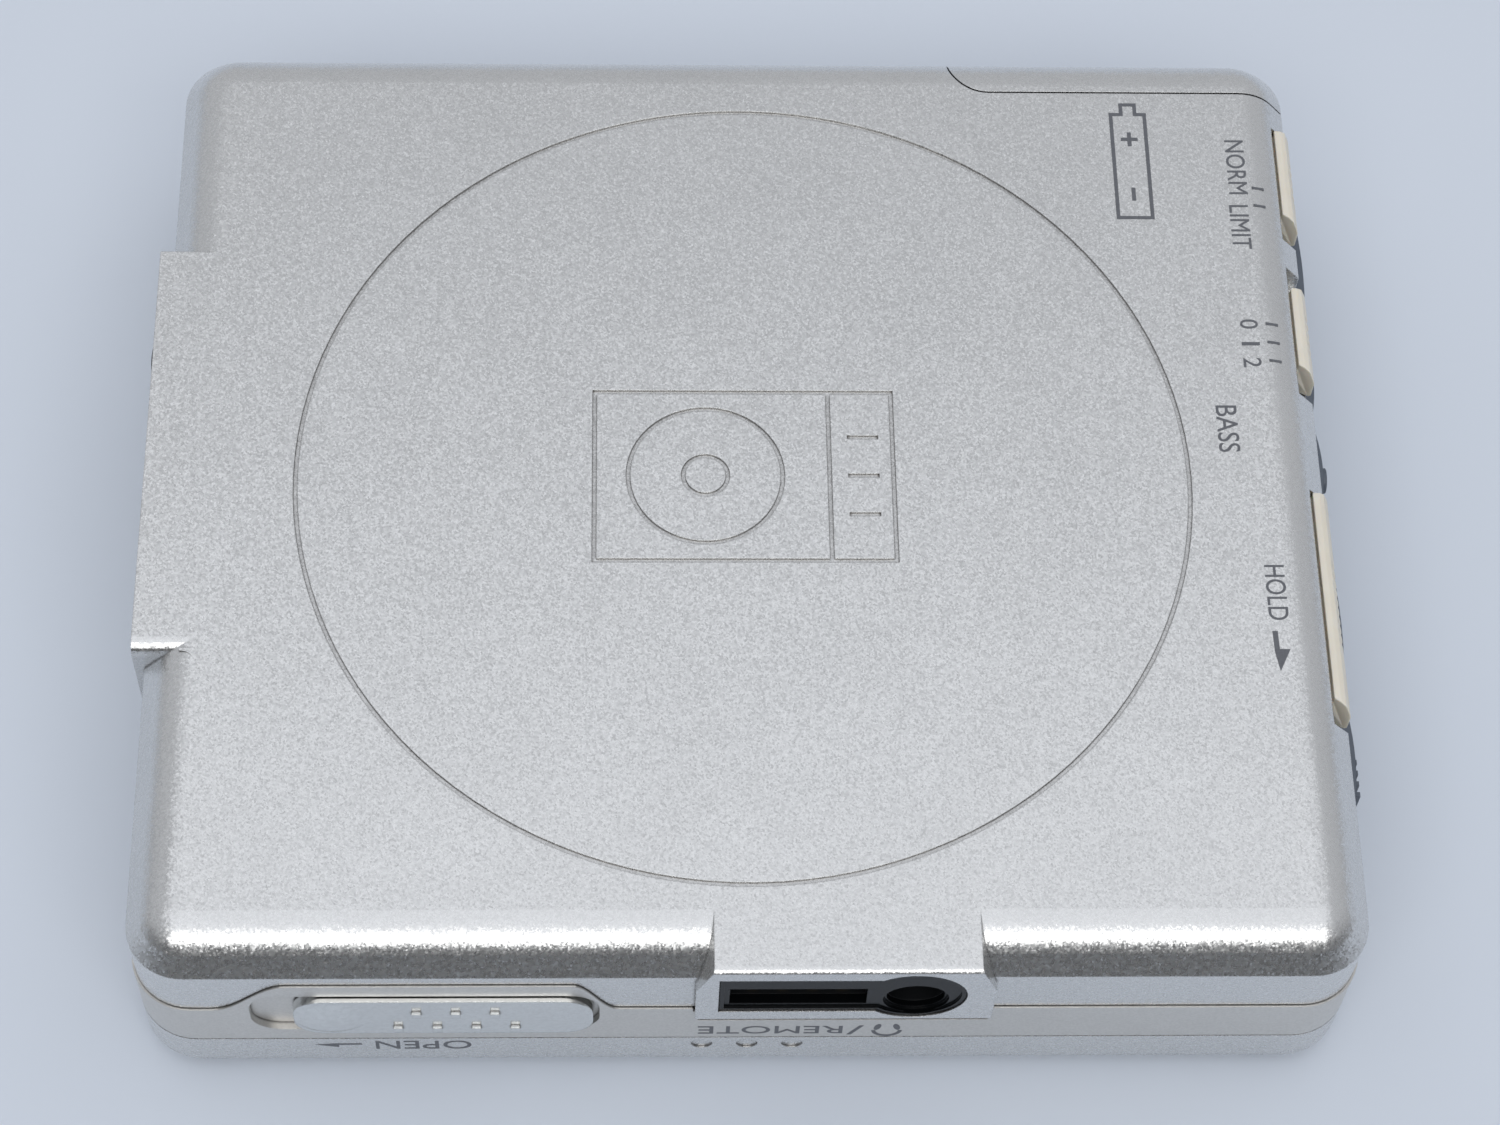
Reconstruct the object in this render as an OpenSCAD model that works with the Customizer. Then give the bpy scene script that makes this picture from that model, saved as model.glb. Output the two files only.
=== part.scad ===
// Portable minidisc player, lying face down on its lid as it is photographed.
// The origin is on the lid's outer face, under the centre of the ring on the base cover.
// X runs to the side of the slide switches, Y to the hinge, Z up to the base cover.

/* [Body] */
// Width over the side walls
body_w = 78.9; // [70:0.1:96]
// Distance from the ring's centre to the front wall
front_y = 35.3; // [33:0.1:43]
// Distance from the ring's centre to the rear wall
rear_y = 36.1; // [35:0.1:44]
// Whole thickness, from the lid's face to the base's face
body_t = 17.2; // [16:0.1:21]
// Radius of the corners seen from above
corner_r = 3.8; // [3.7:0.1:5]
// Radius of the edge round the base's face
edge_r = 3.3; // [2.6:0.1:3.3]
// Slope at which that rounding turns into a straight chamfer, in degrees
edge_slope = 51; // [50:1:58]
// How far the rounding and its chamfer reach in from the walls
edge_reach = 3.6; // [3:0.1:3.6]
// Radius of the edge round the lid's face
lid_edge_r = 2.2; // [1:0.1:3]
// Thickness of the side walls
wall = 1.0; // [0.8:0.1:1.4]
// Thickness of the base's and the lid's faces
face_wall = 0.8; // [0.6:0.05:1]
// How far the frame and the lid stand proud of the base's walls
lip = 0.15; // [0.05:0.05:0.3]

/* [Split lines] */
// Height of the gap between the lid and the frame
lid_h = 5.2; // [5:0.1:6]
// Height of the seam between the frame and the base cover
seam_z = 10.0; // [9.8:0.1:10.6]
// Height of the seam over the opening slider
jog_z = 13.7; // [13:0.1:14]
// Width of the visible seams
seam_gap = 0.12; // [0.05:0.01:0.25]
// Depth of the visible seams
seam_depth = 0.4; // [0.2:0.05:0.5]

/* [Ring and mark on the base] */
// Radius of the ring
ring_r = 30.0; // [25:0.5:32]
// Width of the ring's groove
ring_w = 0.3; // [0.2:0.05:0.6]
// Depth of the grooves in the base's face
groove_depth = 0.15; // [0.05:0.05:0.3]
// Width of the cartridge outline in the middle
mark_w = 20.4; // [14:0.2:24]
// Depth of the cartridge outline in the middle
mark_d = 13.4; // [10:0.2:16]

/* [Jack block] */
// Left side of the block
jack_block_x0 = -3.5; // [-5:0.1:-3]
// Right side of the block
jack_block_x1 = 15.5; // [15:0.1:17]
// How far the block stands proud of the front wall
jack_block_out = 0.75; // [0.4:0.05:1.2]
// How far the sides of the block slope in towards the base's face
jack_block_lean = 1.1; // [0.6:0.1:1.4]
// Height of the gap under the block
jack_gap = 0.2; // [0.1:0.05:0.3]
// Depth of the headphone socket under the base's face
jack_drop = 4.8; // [4.5:0.1:4.9]
// Place of the headphone socket along the front
jack_x = 10.5; // [10:0.1:11]
// Radius of the headphone socket's bore
jack_bore_r = 1.8; // [1.7:0.05:1.9]
// Length of the headphone socket's bore
jack_bore_l = 13.5; // [12:0.5:15]
// Width of the remote socket's slot
remote_w = 8.7; // [7.5:0.1:8.8]
// Height of the remote socket's slot
remote_h = 2.3; // [1.6:0.1:2.6]

/* [Side block] */
// How far the left block stands proud of the wall
side_block_out = 0.65; // [0.4:0.05:1]
// Front end of the left block
side_block_y0 = -13.3; // [-16:0.1:-12]
// Rear end of the left block
side_block_y1 = 17.9; // [16:0.1:22]
// Middle of the black terminal plug
plug_y = 10.9; // [9:0.1:12]
// Length of the black terminal plug
plug_l = 5.6; // [4:0.1:6]

/* [Opening slider] */
// Left end of the window
window_x0 = -31.9; // [-32.4:0.1:-30]
// Right end of the window
window_x1 = -9.6; // [-11:0.1:-9]
// Lower edge of the window
window_z0 = 6.8; // [6.6:0.1:7]
// Upper edge of the window
window_z1 = 12.2; // [11.8:0.1:12.5]
// Depth of the window
window_depth = 0.5; // [0.3:0.05:0.55]
// Travel of the slider
open_travel = 2.5; // [1.5:0.1:2.7]

/* [Slide switches] */
// Length of the limiter knob
limiter_l = 8.1; // [6:0.1:9]
// Rear end of the limiter knob
limiter_y1 = 29.6; // [28.5:0.1:30]
// Travel of the limiter knob
limiter_travel = 1.3; // [0.8:0.1:1.5]
// Length of the bass knob
bass_l = 7.2; // [5:0.1:7.6]
// Rear end of the bass knob in its middle place
bass_y1 = 16.1; // [15.6:0.1:16.8]
// Travel of the bass knob each way
bass_travel = 1.5; // [0.8:0.1:1.6]
// Length of the hold knob
hold_l = 16.5; // [12:0.1:17]
// Rear end of the hold knob
hold_y1 = -0.5; // [-1:0.1:0.5]
// Travel of the hold knob
hold_travel = 1.0; // [0.6:0.1:1.6]
// How far the knobs stand proud of the wall
knob_out = 0.5; // [0.3:0.05:0.7]
// Height of the knobs' slots
slot_h = 3.3; // [2.6:0.1:3.4]
// Distance of the slots from the base's face
slot_drop = 1.1; // [1:0.05:1.3]
// Clearance round a knob in its slot
knob_gap = 0.12; // [0.08:0.01:0.2]

/* [Push buttons] */
// Lower edge of the row of buttons
button_z0 = 6.9; // [6.6:0.1:7.2]
// Upper edge of the row of buttons
button_z1 = 9.4; // [9:0.1:9.5]
// How far the buttons stand proud of the frame
button_out = 1.4; // [0.8:0.1:1.6]
// Clearance round a button
button_gap = 0.15; // [0.12:0.01:0.2]
// Travel of a button
button_travel = 0.4; // [0.2:0.05:0.5]

/* [Disc bay] */
// Width of the cartridge
disc_w = 72.0; // [68:0.1:72.4]
// Depth of the cartridge
disc_d = 68.0; // [64:0.1:68.3]
// Thickness of the cartridge
disc_t = 5.0; // [4.6:0.1:5.1]
// Thickness of the holder's sheet
sheet = 0.3; // [0.2:0.05:0.35]
// Clearance round the cartridge in the holder
disc_gap = 0.15; // [0.1:0.01:0.2]

/* [Hinge] */
// Distance of the hinge's axis from the ring's centre
hinge_y = 34.4; // [34.2:0.1:34.6]
// Radius of the hinge pins
hinge_pin_r = 0.6; // [0.4:0.05:0.7]
// Running clearance of every pin and shaft
running = 0.05; // [0.03:0.01:0.08]

/* [Mechanism] */
// Thickness of the deck
deck_t = 0.5; // [0.4:0.05:0.7]
// Radius of the turntable
turntable_r = 5.6; // [5:0.1:6.5]
// Radius of the pickup's lens
lens_r = 1.7; // [1.2:0.1:2]
// Travel of the pickup
sled_travel = 14.0; // [10:0.5:14.5]
// Turn pitch of the lead screw
screw_pitch = 2.5; // [1.5:0.1:3]
// Module of the gear pair
gear_module = 0.3; // [0.28:0.01:0.32]
// Teeth on the lead screw's gear
gear_teeth = 18; // [16:1:20]
// Teeth on the motor's pinion
pinion_teeth = 9; // [8:1:10]

/* [Battery] */
// Width of the battery
battery_w = 17.0; // [15:0.1:17]
// Thickness of the battery
battery_t = 5.9; // [5:0.1:6]
// Length of the battery
battery_l = 67.0; // [60:0.1:67]
// Left side of the battery
battery_x0 = 18.4; // [18.3:0.1:19]
// Left end of the battery door
door_x0 = 15.3; // [14.5:0.1:15.6]
// Front edge of the battery door
door_y0 = 32.0; // [31.5:0.1:32.3]
// Lower edge of the battery door
door_z0 = 9.55; // [9.4:0.05:9.7]
// Radius of the curve at the door's left end
door_curve_r = 2.7; // [1.5:0.1:3]

/* [Hidden] */
$fn = 64;
hair = 0.01;
half_w = body_w / 2;
frame_half_w = half_w + lip;
frame_front = front_y + lip;
frame_rear = rear_y + lip;
frame_wall = wall + 0.25;
inner_x = frame_half_w - frame_wall;
inner_front = frame_front - frame_wall;
inner_rear = frame_rear - frame_wall;
lid_top = lid_h - seam_gap / 2;
frame_bottom = lid_h + seam_gap / 2;
base_inside = body_t - face_wall;
base_z0 = seam_z + seam_gap;
edge_drop = edge_r * (1 - cos(edge_slope)) + (edge_reach - edge_r * sin(edge_slope)) * tan(edge_slope);
edge_z = body_t - edge_drop;
step_z = edge_z + 0.23;
barrel_r = frame_rear - hinge_y;
scoop_r = barrel_r + 0.15;
ear_r = hinge_pin_r + 0.35;
jog_x = [window_x0 - 2.4, window_x0 + 2.6, window_x1 - 1.7, window_x1 + 1.2];

// Inside levels, from the lid up
holder_z0 = face_wall + 0.45;
disc_z0 = holder_z0 + sheet + disc_gap;
flange_z0 = disc_z0 + disc_t + disc_gap;
flange_z1 = flange_z0 + sheet;
deck_z0 = flange_z1 + 0.25;
deck_z1 = deck_z0 + deck_t;
holder_x = disc_w / 2 + disc_gap + 0.1;
// Hinge ears at each side, as from and to along X: on the holder, on the frame and on the lid
hinge_ear_x = [[holder_x, holder_x + sheet], [holder_x + 0.5, holder_x + 0.9],
    [holder_x + 1, holder_x + 1.45]];
barrel_x = holder_x - 0.65;
lid_screw = [hinge_ear_x[2][0] + 0.35, hinge_y - 4.4];
deck_x0 = -inner_x + 1.15;
deck_x1 = inner_x - 2.75;
deck_front = inner_front - 1.6;
deck_rear = inner_rear - 1.8;
pad_x = inner_x - 5.95;
pad_y = [-inner_front + 4.7, inner_rear - 4.5];
pad_z0 = deck_z1 + 0.4;
tray_z0 = seam_z - 0.1;
battery_z0 = tray_z0 + 0.45;
battery_x1 = battery_x0 + battery_w;
battery_y1 = rear_y - 2.45;
battery_y0 = battery_y1 - battery_l;
tray_x0 = battery_x0 - 0.9;
tray_x1 = battery_x1 + 1;
board_t = 0.6;
board_z0 = base_inside - board_t - 0.9;
board_z1 = board_z0 + board_t;
board_x0 = -half_w + wall + 2.45;
board_x1 = tray_x0 - 1;
board_y0 = -front_y + jack_bore_l + 2.3;
board_y1 = rear_y - 3.6;
board_screws_xy = [[board_x0 + 3.5, board_y1 - 4], [board_x1 - 4, board_y1 - 4],
    [board_x0 + 3.5, -front_y + 6.8], [jack_block_x0 + 5.5, board_y0 + 2.5]];

// Latch
hook_x = [-7.2, 21.0];
hook_y0 = -inner_front - 0.25;
hook_y1 = -inner_front + 0.15;
hook_top = seam_z - 1.4;
nose_l = 0.8;
finger_w = 1.1;
bar_y1 = -inner_front + 0.7;
bar_z0 = hook_top - 1.5;
bar_z1 = hook_top + 0.6;
stem_x = [window_x0 + 10.9, window_x0 + 14.9];
stem_z = [bar_z0 + 0.95, bar_z1 - 0.45];

// Headphone and remote sockets
jack_z = body_t - jack_drop;
jack_block_front = -front_y - jack_block_out;
bezel_t = 0.8;
bezel_front = jack_block_front + 0.1;
bezel_back = bezel_front + bezel_t;
remote_x = jack_x - 7.5;
remote_z = body_t - 4.3;
bezel_z = [body_t - 6.2, body_t - 1.3];
eye_r = 3.3;
eye_x = jack_x - 0.15;
eye_z = body_t - 3.85;
jack_body_x0 = jack_x - 3.3;
jack_body_x1 = jack_x + 3.3;

plug_z = [seam_z + 0.75, body_t - 2.85];

// Right side controls
switch_board_x = [inner_x - 1.7, inner_x - 1.3];
knob_x0 = half_w - 1.5;
slot_z = [body_t - slot_drop - slot_h, body_t - slot_drop];
button_x0 = inner_x - 0.5;
pivot_x = inner_x + 0.6;
pivot_r = 0.3;
button_x1 = frame_half_w + button_out;
// Each row holds the front and the rear end along Y
volume_y = [15.7, 28.3];
mode_y = [9.8, 15.2];
play_y = [2.0, 8.8];
skip_y = [-12.4, -1.8];
stop_y = [-21.0, -13.0];
button_rows = [volume_y, mode_y, play_y, skip_y, stop_y];

// Battery door
door_pin_r = 0.4;
door_barrel_r = 0.7;
door_axis_y = rear_y - door_barrel_r;
door_axis_z = door_z0 + seam_gap + door_barrel_r;
lug_y0 = inner_rear - 0.9;
// Lugs on the frame and ears on the door, as from and to along X
door_lugs_x = [[door_x0 + 1.4, door_x0 + 2.3], [half_w - 3.85, half_w - 3.15]];
door_ears_x = [[door_x0 + 0.5, door_x0 + 1.3], [half_w - 3.05, half_w - 2.25]];

// Pickup drive
rod_y0 = 7.1;
rod_z = deck_z1 + 2.4;
rod_r = 0.6;
sled_x0 = -21.5;
sled_x1 = -9.2;
lens_x = -15.6;
screw_y = -11.0;
screw_z = deck_z1 + 3.3;
screw_r = 0.9;
screw_x0 = deck_x0 + 0.6;
screw_x1 = -7.4;
gear_x = [-8.7, -7.7];
pinion_y = screw_y - gear_module * (gear_teeth + pinion_teeth) / 2;
motor_r = 8.5;
shaft_r = 0.75;

module block(x0, x1, y0, y1, z0, z1) {
    translate([x0, y0, z0]) cube([x1 - x0, y1 - y0, z1 - z0]);
}

// A flat shape in Y and Z, run along X
module along_x(x0, x1) {
    translate([x0, 0, 0]) rotate([90, 0, 90]) linear_extrude(x1 - x0) children();
}

// A flat shape in X and Z, run along Y
module along_y(y0, y1) {
    translate([0, y1, 0]) rotate([90, 0, 0]) linear_extrude(y1 - y0) children();
}

module rod_along_x(y, z, r, x0, x1) {
    translate([x0, y, z]) rotate([0, 90, 0]) cylinder(r = r, h = x1 - x0);
}

module rod_along_y(x, z, r, y0, y1) {
    translate([x, y1, z]) rotate([90, 0, 0]) cylinder(r = r, h = y1 - y0);
}

// The same piece on the left and on the right
module both_sides() {
    children();
    mirror([1, 0, 0]) children();
}

// Outline of the body seen from above, moved outwards by grow
module plan(grow) {
    r = corner_r + grow;
    x = half_w + grow;
    y0 = -front_y - grow;
    y1 = rear_y + grow;
    translate([-x + r, y0]) square([2 * (x - r), y1 - y0]);
    translate([-x, y0 + r]) square([2 * x, y1 - y0 - 2 * r]);
    for (sx = [-1, 1], y = [y0 + r, y1 - r]) translate([sx * (x - r), y]) circle(r);
}

module quarter(r) {
    intersection() {
        circle(r);
        square(r);
    }
}

// Start of a quarter disc, as far as the slope a
module part_quarter(r, a) {
    intersection() {
        circle(r);
        square([r * sin(a), r]);
    }
}

// Body of the plan from z0 to z1, with a child drawn in section that runs round it reach inside the wall
module edged_slab(grow, reach, z0, z1) {
    x = half_w + grow - reach;
    y0 = -front_y - grow + reach;
    y1 = rear_y + grow - reach;
    c = corner_r + grow - reach;
    translate([0, 0, z0]) linear_extrude(z1 - z0) plan(grow - reach);
    along_y(y0 + c, y1 - c) {
        translate([x, 0]) children();
        translate([-x, 0]) mirror([1, 0]) children();
    }
    along_x(-x + c, x - c) {
        translate([y1, 0]) children();
        translate([y0, 0]) mirror([1, 0]) children();
    }
    for (k = [[x - c, y1 - c, 0], [-x + c, y1 - c, 90], [-x + c, y0 + c, 180], [x - c, y0 + c, 270]]) {
        translate([k[0], k[1], 0]) rotate(k[2]) rotate_extrude(angle = 90) {
            translate([0, z0]) square([c, z1 - z0]);
            translate([c, 0]) children();
        }
    }
}

// Body of the plan with its upper edge rounded by r
module soft_slab(grow, z0, z1, r) {
    translate([0, 0, z0]) linear_extrude(z1 - r - z0) plan(grow);
    edged_slab(grow, r, z1 - r, z1) translate([0, z1 - r]) quarter(r);
}

// Outside of the base, its edge rounded first and then chamfered down to the wall
module base_slab(z0) {
    s = edge_r * sin(edge_slope);
    h = body_t - edge_r + edge_r * cos(edge_slope);
    edged_slab(0, edge_reach, z0, body_t) {
        translate([0, body_t - edge_r]) part_quarter(edge_r, edge_slope);
        polygon([[0, z0], [edge_reach, z0], [edge_reach, edge_z], [s, h], [0, h]]);
    }
}

// Height of an S-shaped step between two points
function s_curve(x0, x1, z0, z1) =
    [for (i = [0:12]) [x0 + (x1 - x0) * i / 12, z0 + (z1 - z0) * (1 - cos(15 * i)) / 2]];

// The seam's rise over the window, with its foot below the seam
module seam_rise(up) {
    polygon(concat([[jog_x[0], seam_z - 1]],
        s_curve(jog_x[0], jog_x[1], seam_z + up, jog_z + up),
        s_curve(jog_x[2], jog_x[3], jog_z + up, seam_z + up),
        [[jog_x[3], seam_z - 1]]));
}

// Face of the window and of the knob: a rounded bar in X and Z
module rounded_bar(x0, x1, z0, z1, r) {
    translate([x0 + r, z0]) square([x1 - x0 - 2 * r, z1 - z0]);
    translate([x0, z0 + r]) square([x1 - x0, z1 - z0 - 2 * r]);
    for (x = [x0 + r, x1 - r], z = [z0 + r, z1 - r]) translate([x, z]) circle(r);
}

// Black surround of the two sockets
module bezel_outline(grow) {
    translate([remote_x - 5 - grow, bezel_z[0] - grow])
        square([eye_x - remote_x + 5, bezel_z[1] - bezel_z[0] + 2 * grow]);
    translate([eye_x, eye_z]) circle(eye_r + grow);
}

// Plan of the battery door, moved outwards by grow
module door_plan(grow) {
    x0 = door_x0 - grow;
    y0 = door_y0 - grow;
    r = door_curve_r + grow;
    difference() {
        translate([x0, y0]) square([60, 20]);
        difference() {
            translate([x0 - 1, y0 - 1]) square(r + 1);
            translate([x0 + r, y0 + r]) circle(r);
        }
    }
}

// Plain bar between two ends along Y, with its outer face crowned by an arc
module button_bar(y, out, crown) {
    mid = (y[0] + y[1]) / 2;
    half = (y[1] - y[0]) / 2;
    arc_r = (half * half + crown * crown) / (2 * crown);
    intersection() {
        block(button_x0, out, y[0], y[1], button_z0, button_z1);
        union() {
            translate([out - arc_r, mid, button_z0])
                cylinder(r = arc_r, h = button_z1 - button_z0, $fn = 200);
            block(button_x0, out - crown - 0.3, y[0], y[1], button_z0, button_z1);
        }
    }
}

// Flat cross-section of the slide knobs in X and Z
module knob_face() {
    out = half_w + knob_out;
    z0 = slot_z[0] + knob_gap;
    z1 = slot_z[1] - knob_gap;
    polygon([[knob_x0, z0], [out - 0.1, z0], [out, z0 + 0.3], [out, z0 + 1.6], [out - 0.25, z0 + 2.3],
        [out - 0.75, z1 - 0.2], [out - 1.15, z1], [knob_x0, z1]]);
}

// Slide knob with a slanted front end, as long as length and ending at y1
module slide_knob(length, y1) {
    out = half_w + knob_out;
    difference() {
        along_y(y1 - length, y1) knob_face();
        translate([out, y1 - length - 0.6, 0]) rotate([0, 0, -35])
            block(-2, 2, -3, 0.3, slot_z[0], slot_z[1]);
    }
}

module slot_for(length, y1, back, forth) {
    block(knob_x0 - 0.35, half_w + 2, y1 - length - forth - knob_gap, y1 + back + knob_gap,
        slot_z[0], slot_z[1]);
}

function polar(r, a) = r * [cos(a), sin(a)];

// Involute tooth: half its angle at radius r, in degrees
function involute(base, r) = let (a = acos(min(1, base / r))) tan(a) * 180 / PI - a;
function tooth_half(teeth, r) =
    let (pitch = gear_module * teeth / 2, base = pitch * cos(20), slack = 1.1 * 180 / PI * 0.03 / pitch)
    90 / teeth - slack + involute(base, pitch) - involute(base, max(r, base));

module gear_outline(teeth) {
    pitch = gear_module * teeth / 2;
    root = pitch - 1.3 * gear_module;
    tip = pitch + 0.85 * gear_module;
    radii = [root, pitch * cos(20) + 0.02, pitch, (pitch + tip) / 2, tip];
    polygon([for (k = [0:teeth - 1]) each concat(
        [for (r = radii) polar(r, k * 360 / teeth - tooth_half(teeth, r))],
        [for (i = [4:-1:0]) polar(radii[i], k * 360 / teeth + tooth_half(teeth, radii[i]))])]);
}

module lid_cover() {
    color("silver") difference() {
        translate([0, 0, lid_top]) mirror([0, 0, 1]) soft_slab(lip, 0, lid_top, lid_edge_r);
        translate([0, 0, face_wall]) linear_extrude(lid_h) plan(lip - frame_wall);
        rod_along_x(hinge_y, lid_h, scoop_r, -half_w - 1, half_w + 1);
        both_sides() block(hinge_ear_x[2][0] - 0.05, hinge_ear_x[2][1] + 0.05,
            hinge_y - ear_r - 0.05, hinge_y + ear_r + 0.05, face_wall, lid_h);
        both_sides() translate([lid_screw[0], lid_screw[1], 0.3]) cylinder(r = 0.55, h = 1);
        for (x = hook_x) block(x, x + 2.2, hook_y0, 0, lid_h - 2.2, lid_h);
        for (x = [-2.95, 0, 2.95]) rod_along_y(x, 4.1, 0.7, -frame_front - 1, -frame_front + 0.12);
    }
}

module lid_liner() {
    color("dimgray") difference() {
        block(-35, 35, -33, 33, face_wall, face_wall + 0.25);
        translate([0, 0, face_wall]) cylinder(r = 3, h = 1);
    }
}

module hinge_brackets() {
    color("lightsteelblue") both_sides() difference() {
        union() {
            block(lid_screw[0] - 0.8, lid_screw[0] + 0.6, lid_screw[1] - 1.6, hinge_y - 1.2,
                face_wall, face_wall + 0.4);
            block(hinge_ear_x[2][0], hinge_ear_x[2][1], lid_screw[1] + 1, hinge_y,
                face_wall, face_wall + 1.4);
            block(hinge_ear_x[2][0], hinge_ear_x[2][1], hinge_y - ear_r, hinge_y + 0.4, face_wall, lid_h);
            rod_along_x(hinge_y, lid_h, ear_r, hinge_ear_x[2][0], hinge_ear_x[2][1]);
        }
        rod_along_x(hinge_y, lid_h, hinge_pin_r + 0.01, hinge_ear_x[2][0] - 0.3, hinge_ear_x[2][1] + 0.3);
        translate([lid_screw[0], lid_screw[1], 0]) cylinder(r = 0.55, h = 3);
    }
}

module lid_screws() {
    color("gray") both_sides() translate([lid_screw[0], lid_screw[1], 0]) {
        translate([0, 0, 0.35]) cylinder(r = 0.5, h = face_wall + 0.1);
        difference() {
            translate([0, 0, face_wall + 0.4]) cylinder(r = 0.75, h = 0.4);
            translate([-0.6, -0.1, face_wall + 0.6]) cube([1.2, 0.2, 1]);
            translate([-0.1, -0.6, face_wall + 0.6]) cube([0.2, 1.2, 1]);
        }
    }
}

module hinge_pins() {
    color("gainsboro") both_sides()
        rod_along_x(hinge_y, lid_h, hinge_pin_r, hinge_ear_x[0][0] - 0.05, hinge_ear_x[2][1]);
}

module catch_hooks() {
    color("lightsteelblue") for (x = hook_x) {
        block(x, x + 2.2, hook_y0, hook_y1, lid_h - 2.2, hook_top);
        block(x - nose_l, x, hook_y0, hook_y1, hook_top - 0.7, hook_top);
    }
}

module disc_holder() {
    color("darkgray") difference() {
        union() {
            block(-holder_x, holder_x, -disc_d / 2 + 0.2, disc_d / 2 - 0.1, holder_z0, holder_z0 + sheet);
            both_sides() {
                block(holder_x, holder_x + sheet, -disc_d / 2 + 0.2, disc_d / 2 + 0.4, holder_z0, flange_z1);
                block(disc_w / 2 - 1.4, holder_x, -disc_d / 2 + 0.2, disc_d / 2 - 1, flange_z0, flange_z1);
                rod_along_x(hinge_y, lid_h, ear_r, holder_x, holder_x + sheet);
                block(20, 30, disc_d / 2 - 0.1, disc_d / 2 + 0.2, holder_z0, holder_z0 + 1.6);
                block(20, 30, disc_d / 2 - 0.3, disc_d / 2 - 0.1, holder_z0, holder_z0 + sheet);
            }
        }
        both_sides() rod_along_x(hinge_y, lid_h, hinge_pin_r + running, holder_x - 1, holder_x + 2);
        translate([0, -disc_d / 2 + 0.2, 0]) cylinder(r = 4, h = 3);
    }
}

module holder_springs() {
    color("gainsboro") both_sides() block(24, 27, -20, 8, holder_z0 + sheet, holder_z0 + sheet + 0.12);
}

module cover_solid() {
    base_slab(base_z0);
    translate([0, 0, seam_z]) linear_extrude(1) plan(-seam_depth);
    jack_block();
    side_block();
}

// Block round the sockets, its sides leaning in and its upper edge rounded
module jack_block() {
    r = 0.6;
    reach = r * sin(edge_slope);
    z0 = door_z0 + jack_gap;
    intersection() {
        along_y(jack_block_front - 1, -front_y + edge_reach + 0.5)
            polygon([[jack_block_x0, z0], [jack_block_x1, z0], [jack_block_x1, edge_z - 0.5],
                [jack_block_x1 - jack_block_lean, body_t], [jack_block_x0 + jack_block_lean, body_t],
                [jack_block_x0, edge_z - 0.5]]);
        along_x(jack_block_x0 - 1, jack_block_x1 + 1) {
            translate([jack_block_front + reach, z0]) square([edge_reach + 2, body_t - z0]);
            translate([jack_block_front, z0]) square([1, body_t - r + r * cos(edge_slope) - z0]);
            translate([jack_block_front + reach, body_t - r]) mirror([1, 0]) part_quarter(r, edge_slope);
        }
    }
}

// Filled corner with a hollow quarter round of radius r, turned by angle a
module corner_round(x, y, r, a) {
    translate([x, y, edge_z]) rotate(a)
        translate([-0.2, -0.2, 0]) linear_extrude(edge_drop) difference() {
            square(r + 0.2);
            translate([r + 0.2, r + 0.2]) circle(r);
        }
}

// Raised block on the left, with a rounded front end
module side_block() {
    r = 1;
    along_x(-half_w - side_block_out, -half_w + edge_reach + 0.5)
        polygon(concat([[side_block_y1, base_z0], [side_block_y0, base_z0]],
            [for (i = [0:8]) [side_block_y0 + r - r * cos(i * 11.25), body_t - r + r * sin(i * 11.25)]],
            [[side_block_y1, body_t]]));
    rod_along_x(side_block_y0 + 3.6, body_t - 4.8, 2.2, -half_w - side_block_out - 0.2, -half_w);
    // Hollow rounds where the block meets the rounded edge
    corner_round(-half_w + edge_reach, side_block_y0, 1.1, 180);
    corner_round(-half_w + edge_reach, side_block_y1, 0.8, 90);
}

module ring_groove(r) {
    translate([0, 0, body_t - groove_depth]) difference() {
        cylinder(r = r + ring_w / 2, h = 1, $fn = 180);
        cylinder(r = r - ring_w / 2, h = 1, $fn = 180);
    }
}

// Outline of a disc cartridge: a plain frame, a disc with its hub, and a shutter
module cartridge_mark() {
    half = mark_w / 2;
    shutter_x = half - 4.6;
    difference() {
        block(-half, half, -mark_d / 2, mark_d / 2, body_t - groove_depth, body_t + 1);
        block(-half + ring_w, half - ring_w, -mark_d / 2 + ring_w, mark_d / 2 - ring_w, 0, body_t + 2);
    }
    translate([-2.6, 0, 0]) {
        ring_groove(5.2);
        ring_groove(1.5);
    }
    block(shutter_x, shutter_x + ring_w, -mark_d / 2, mark_d / 2, body_t - groove_depth, body_t + 1);
    for (y = [-3, 0, 3])
        block(shutter_x + 1.4, half - 1.1, y - ring_w / 2, y + ring_w / 2, body_t - groove_depth, body_t + 1);
}

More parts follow.
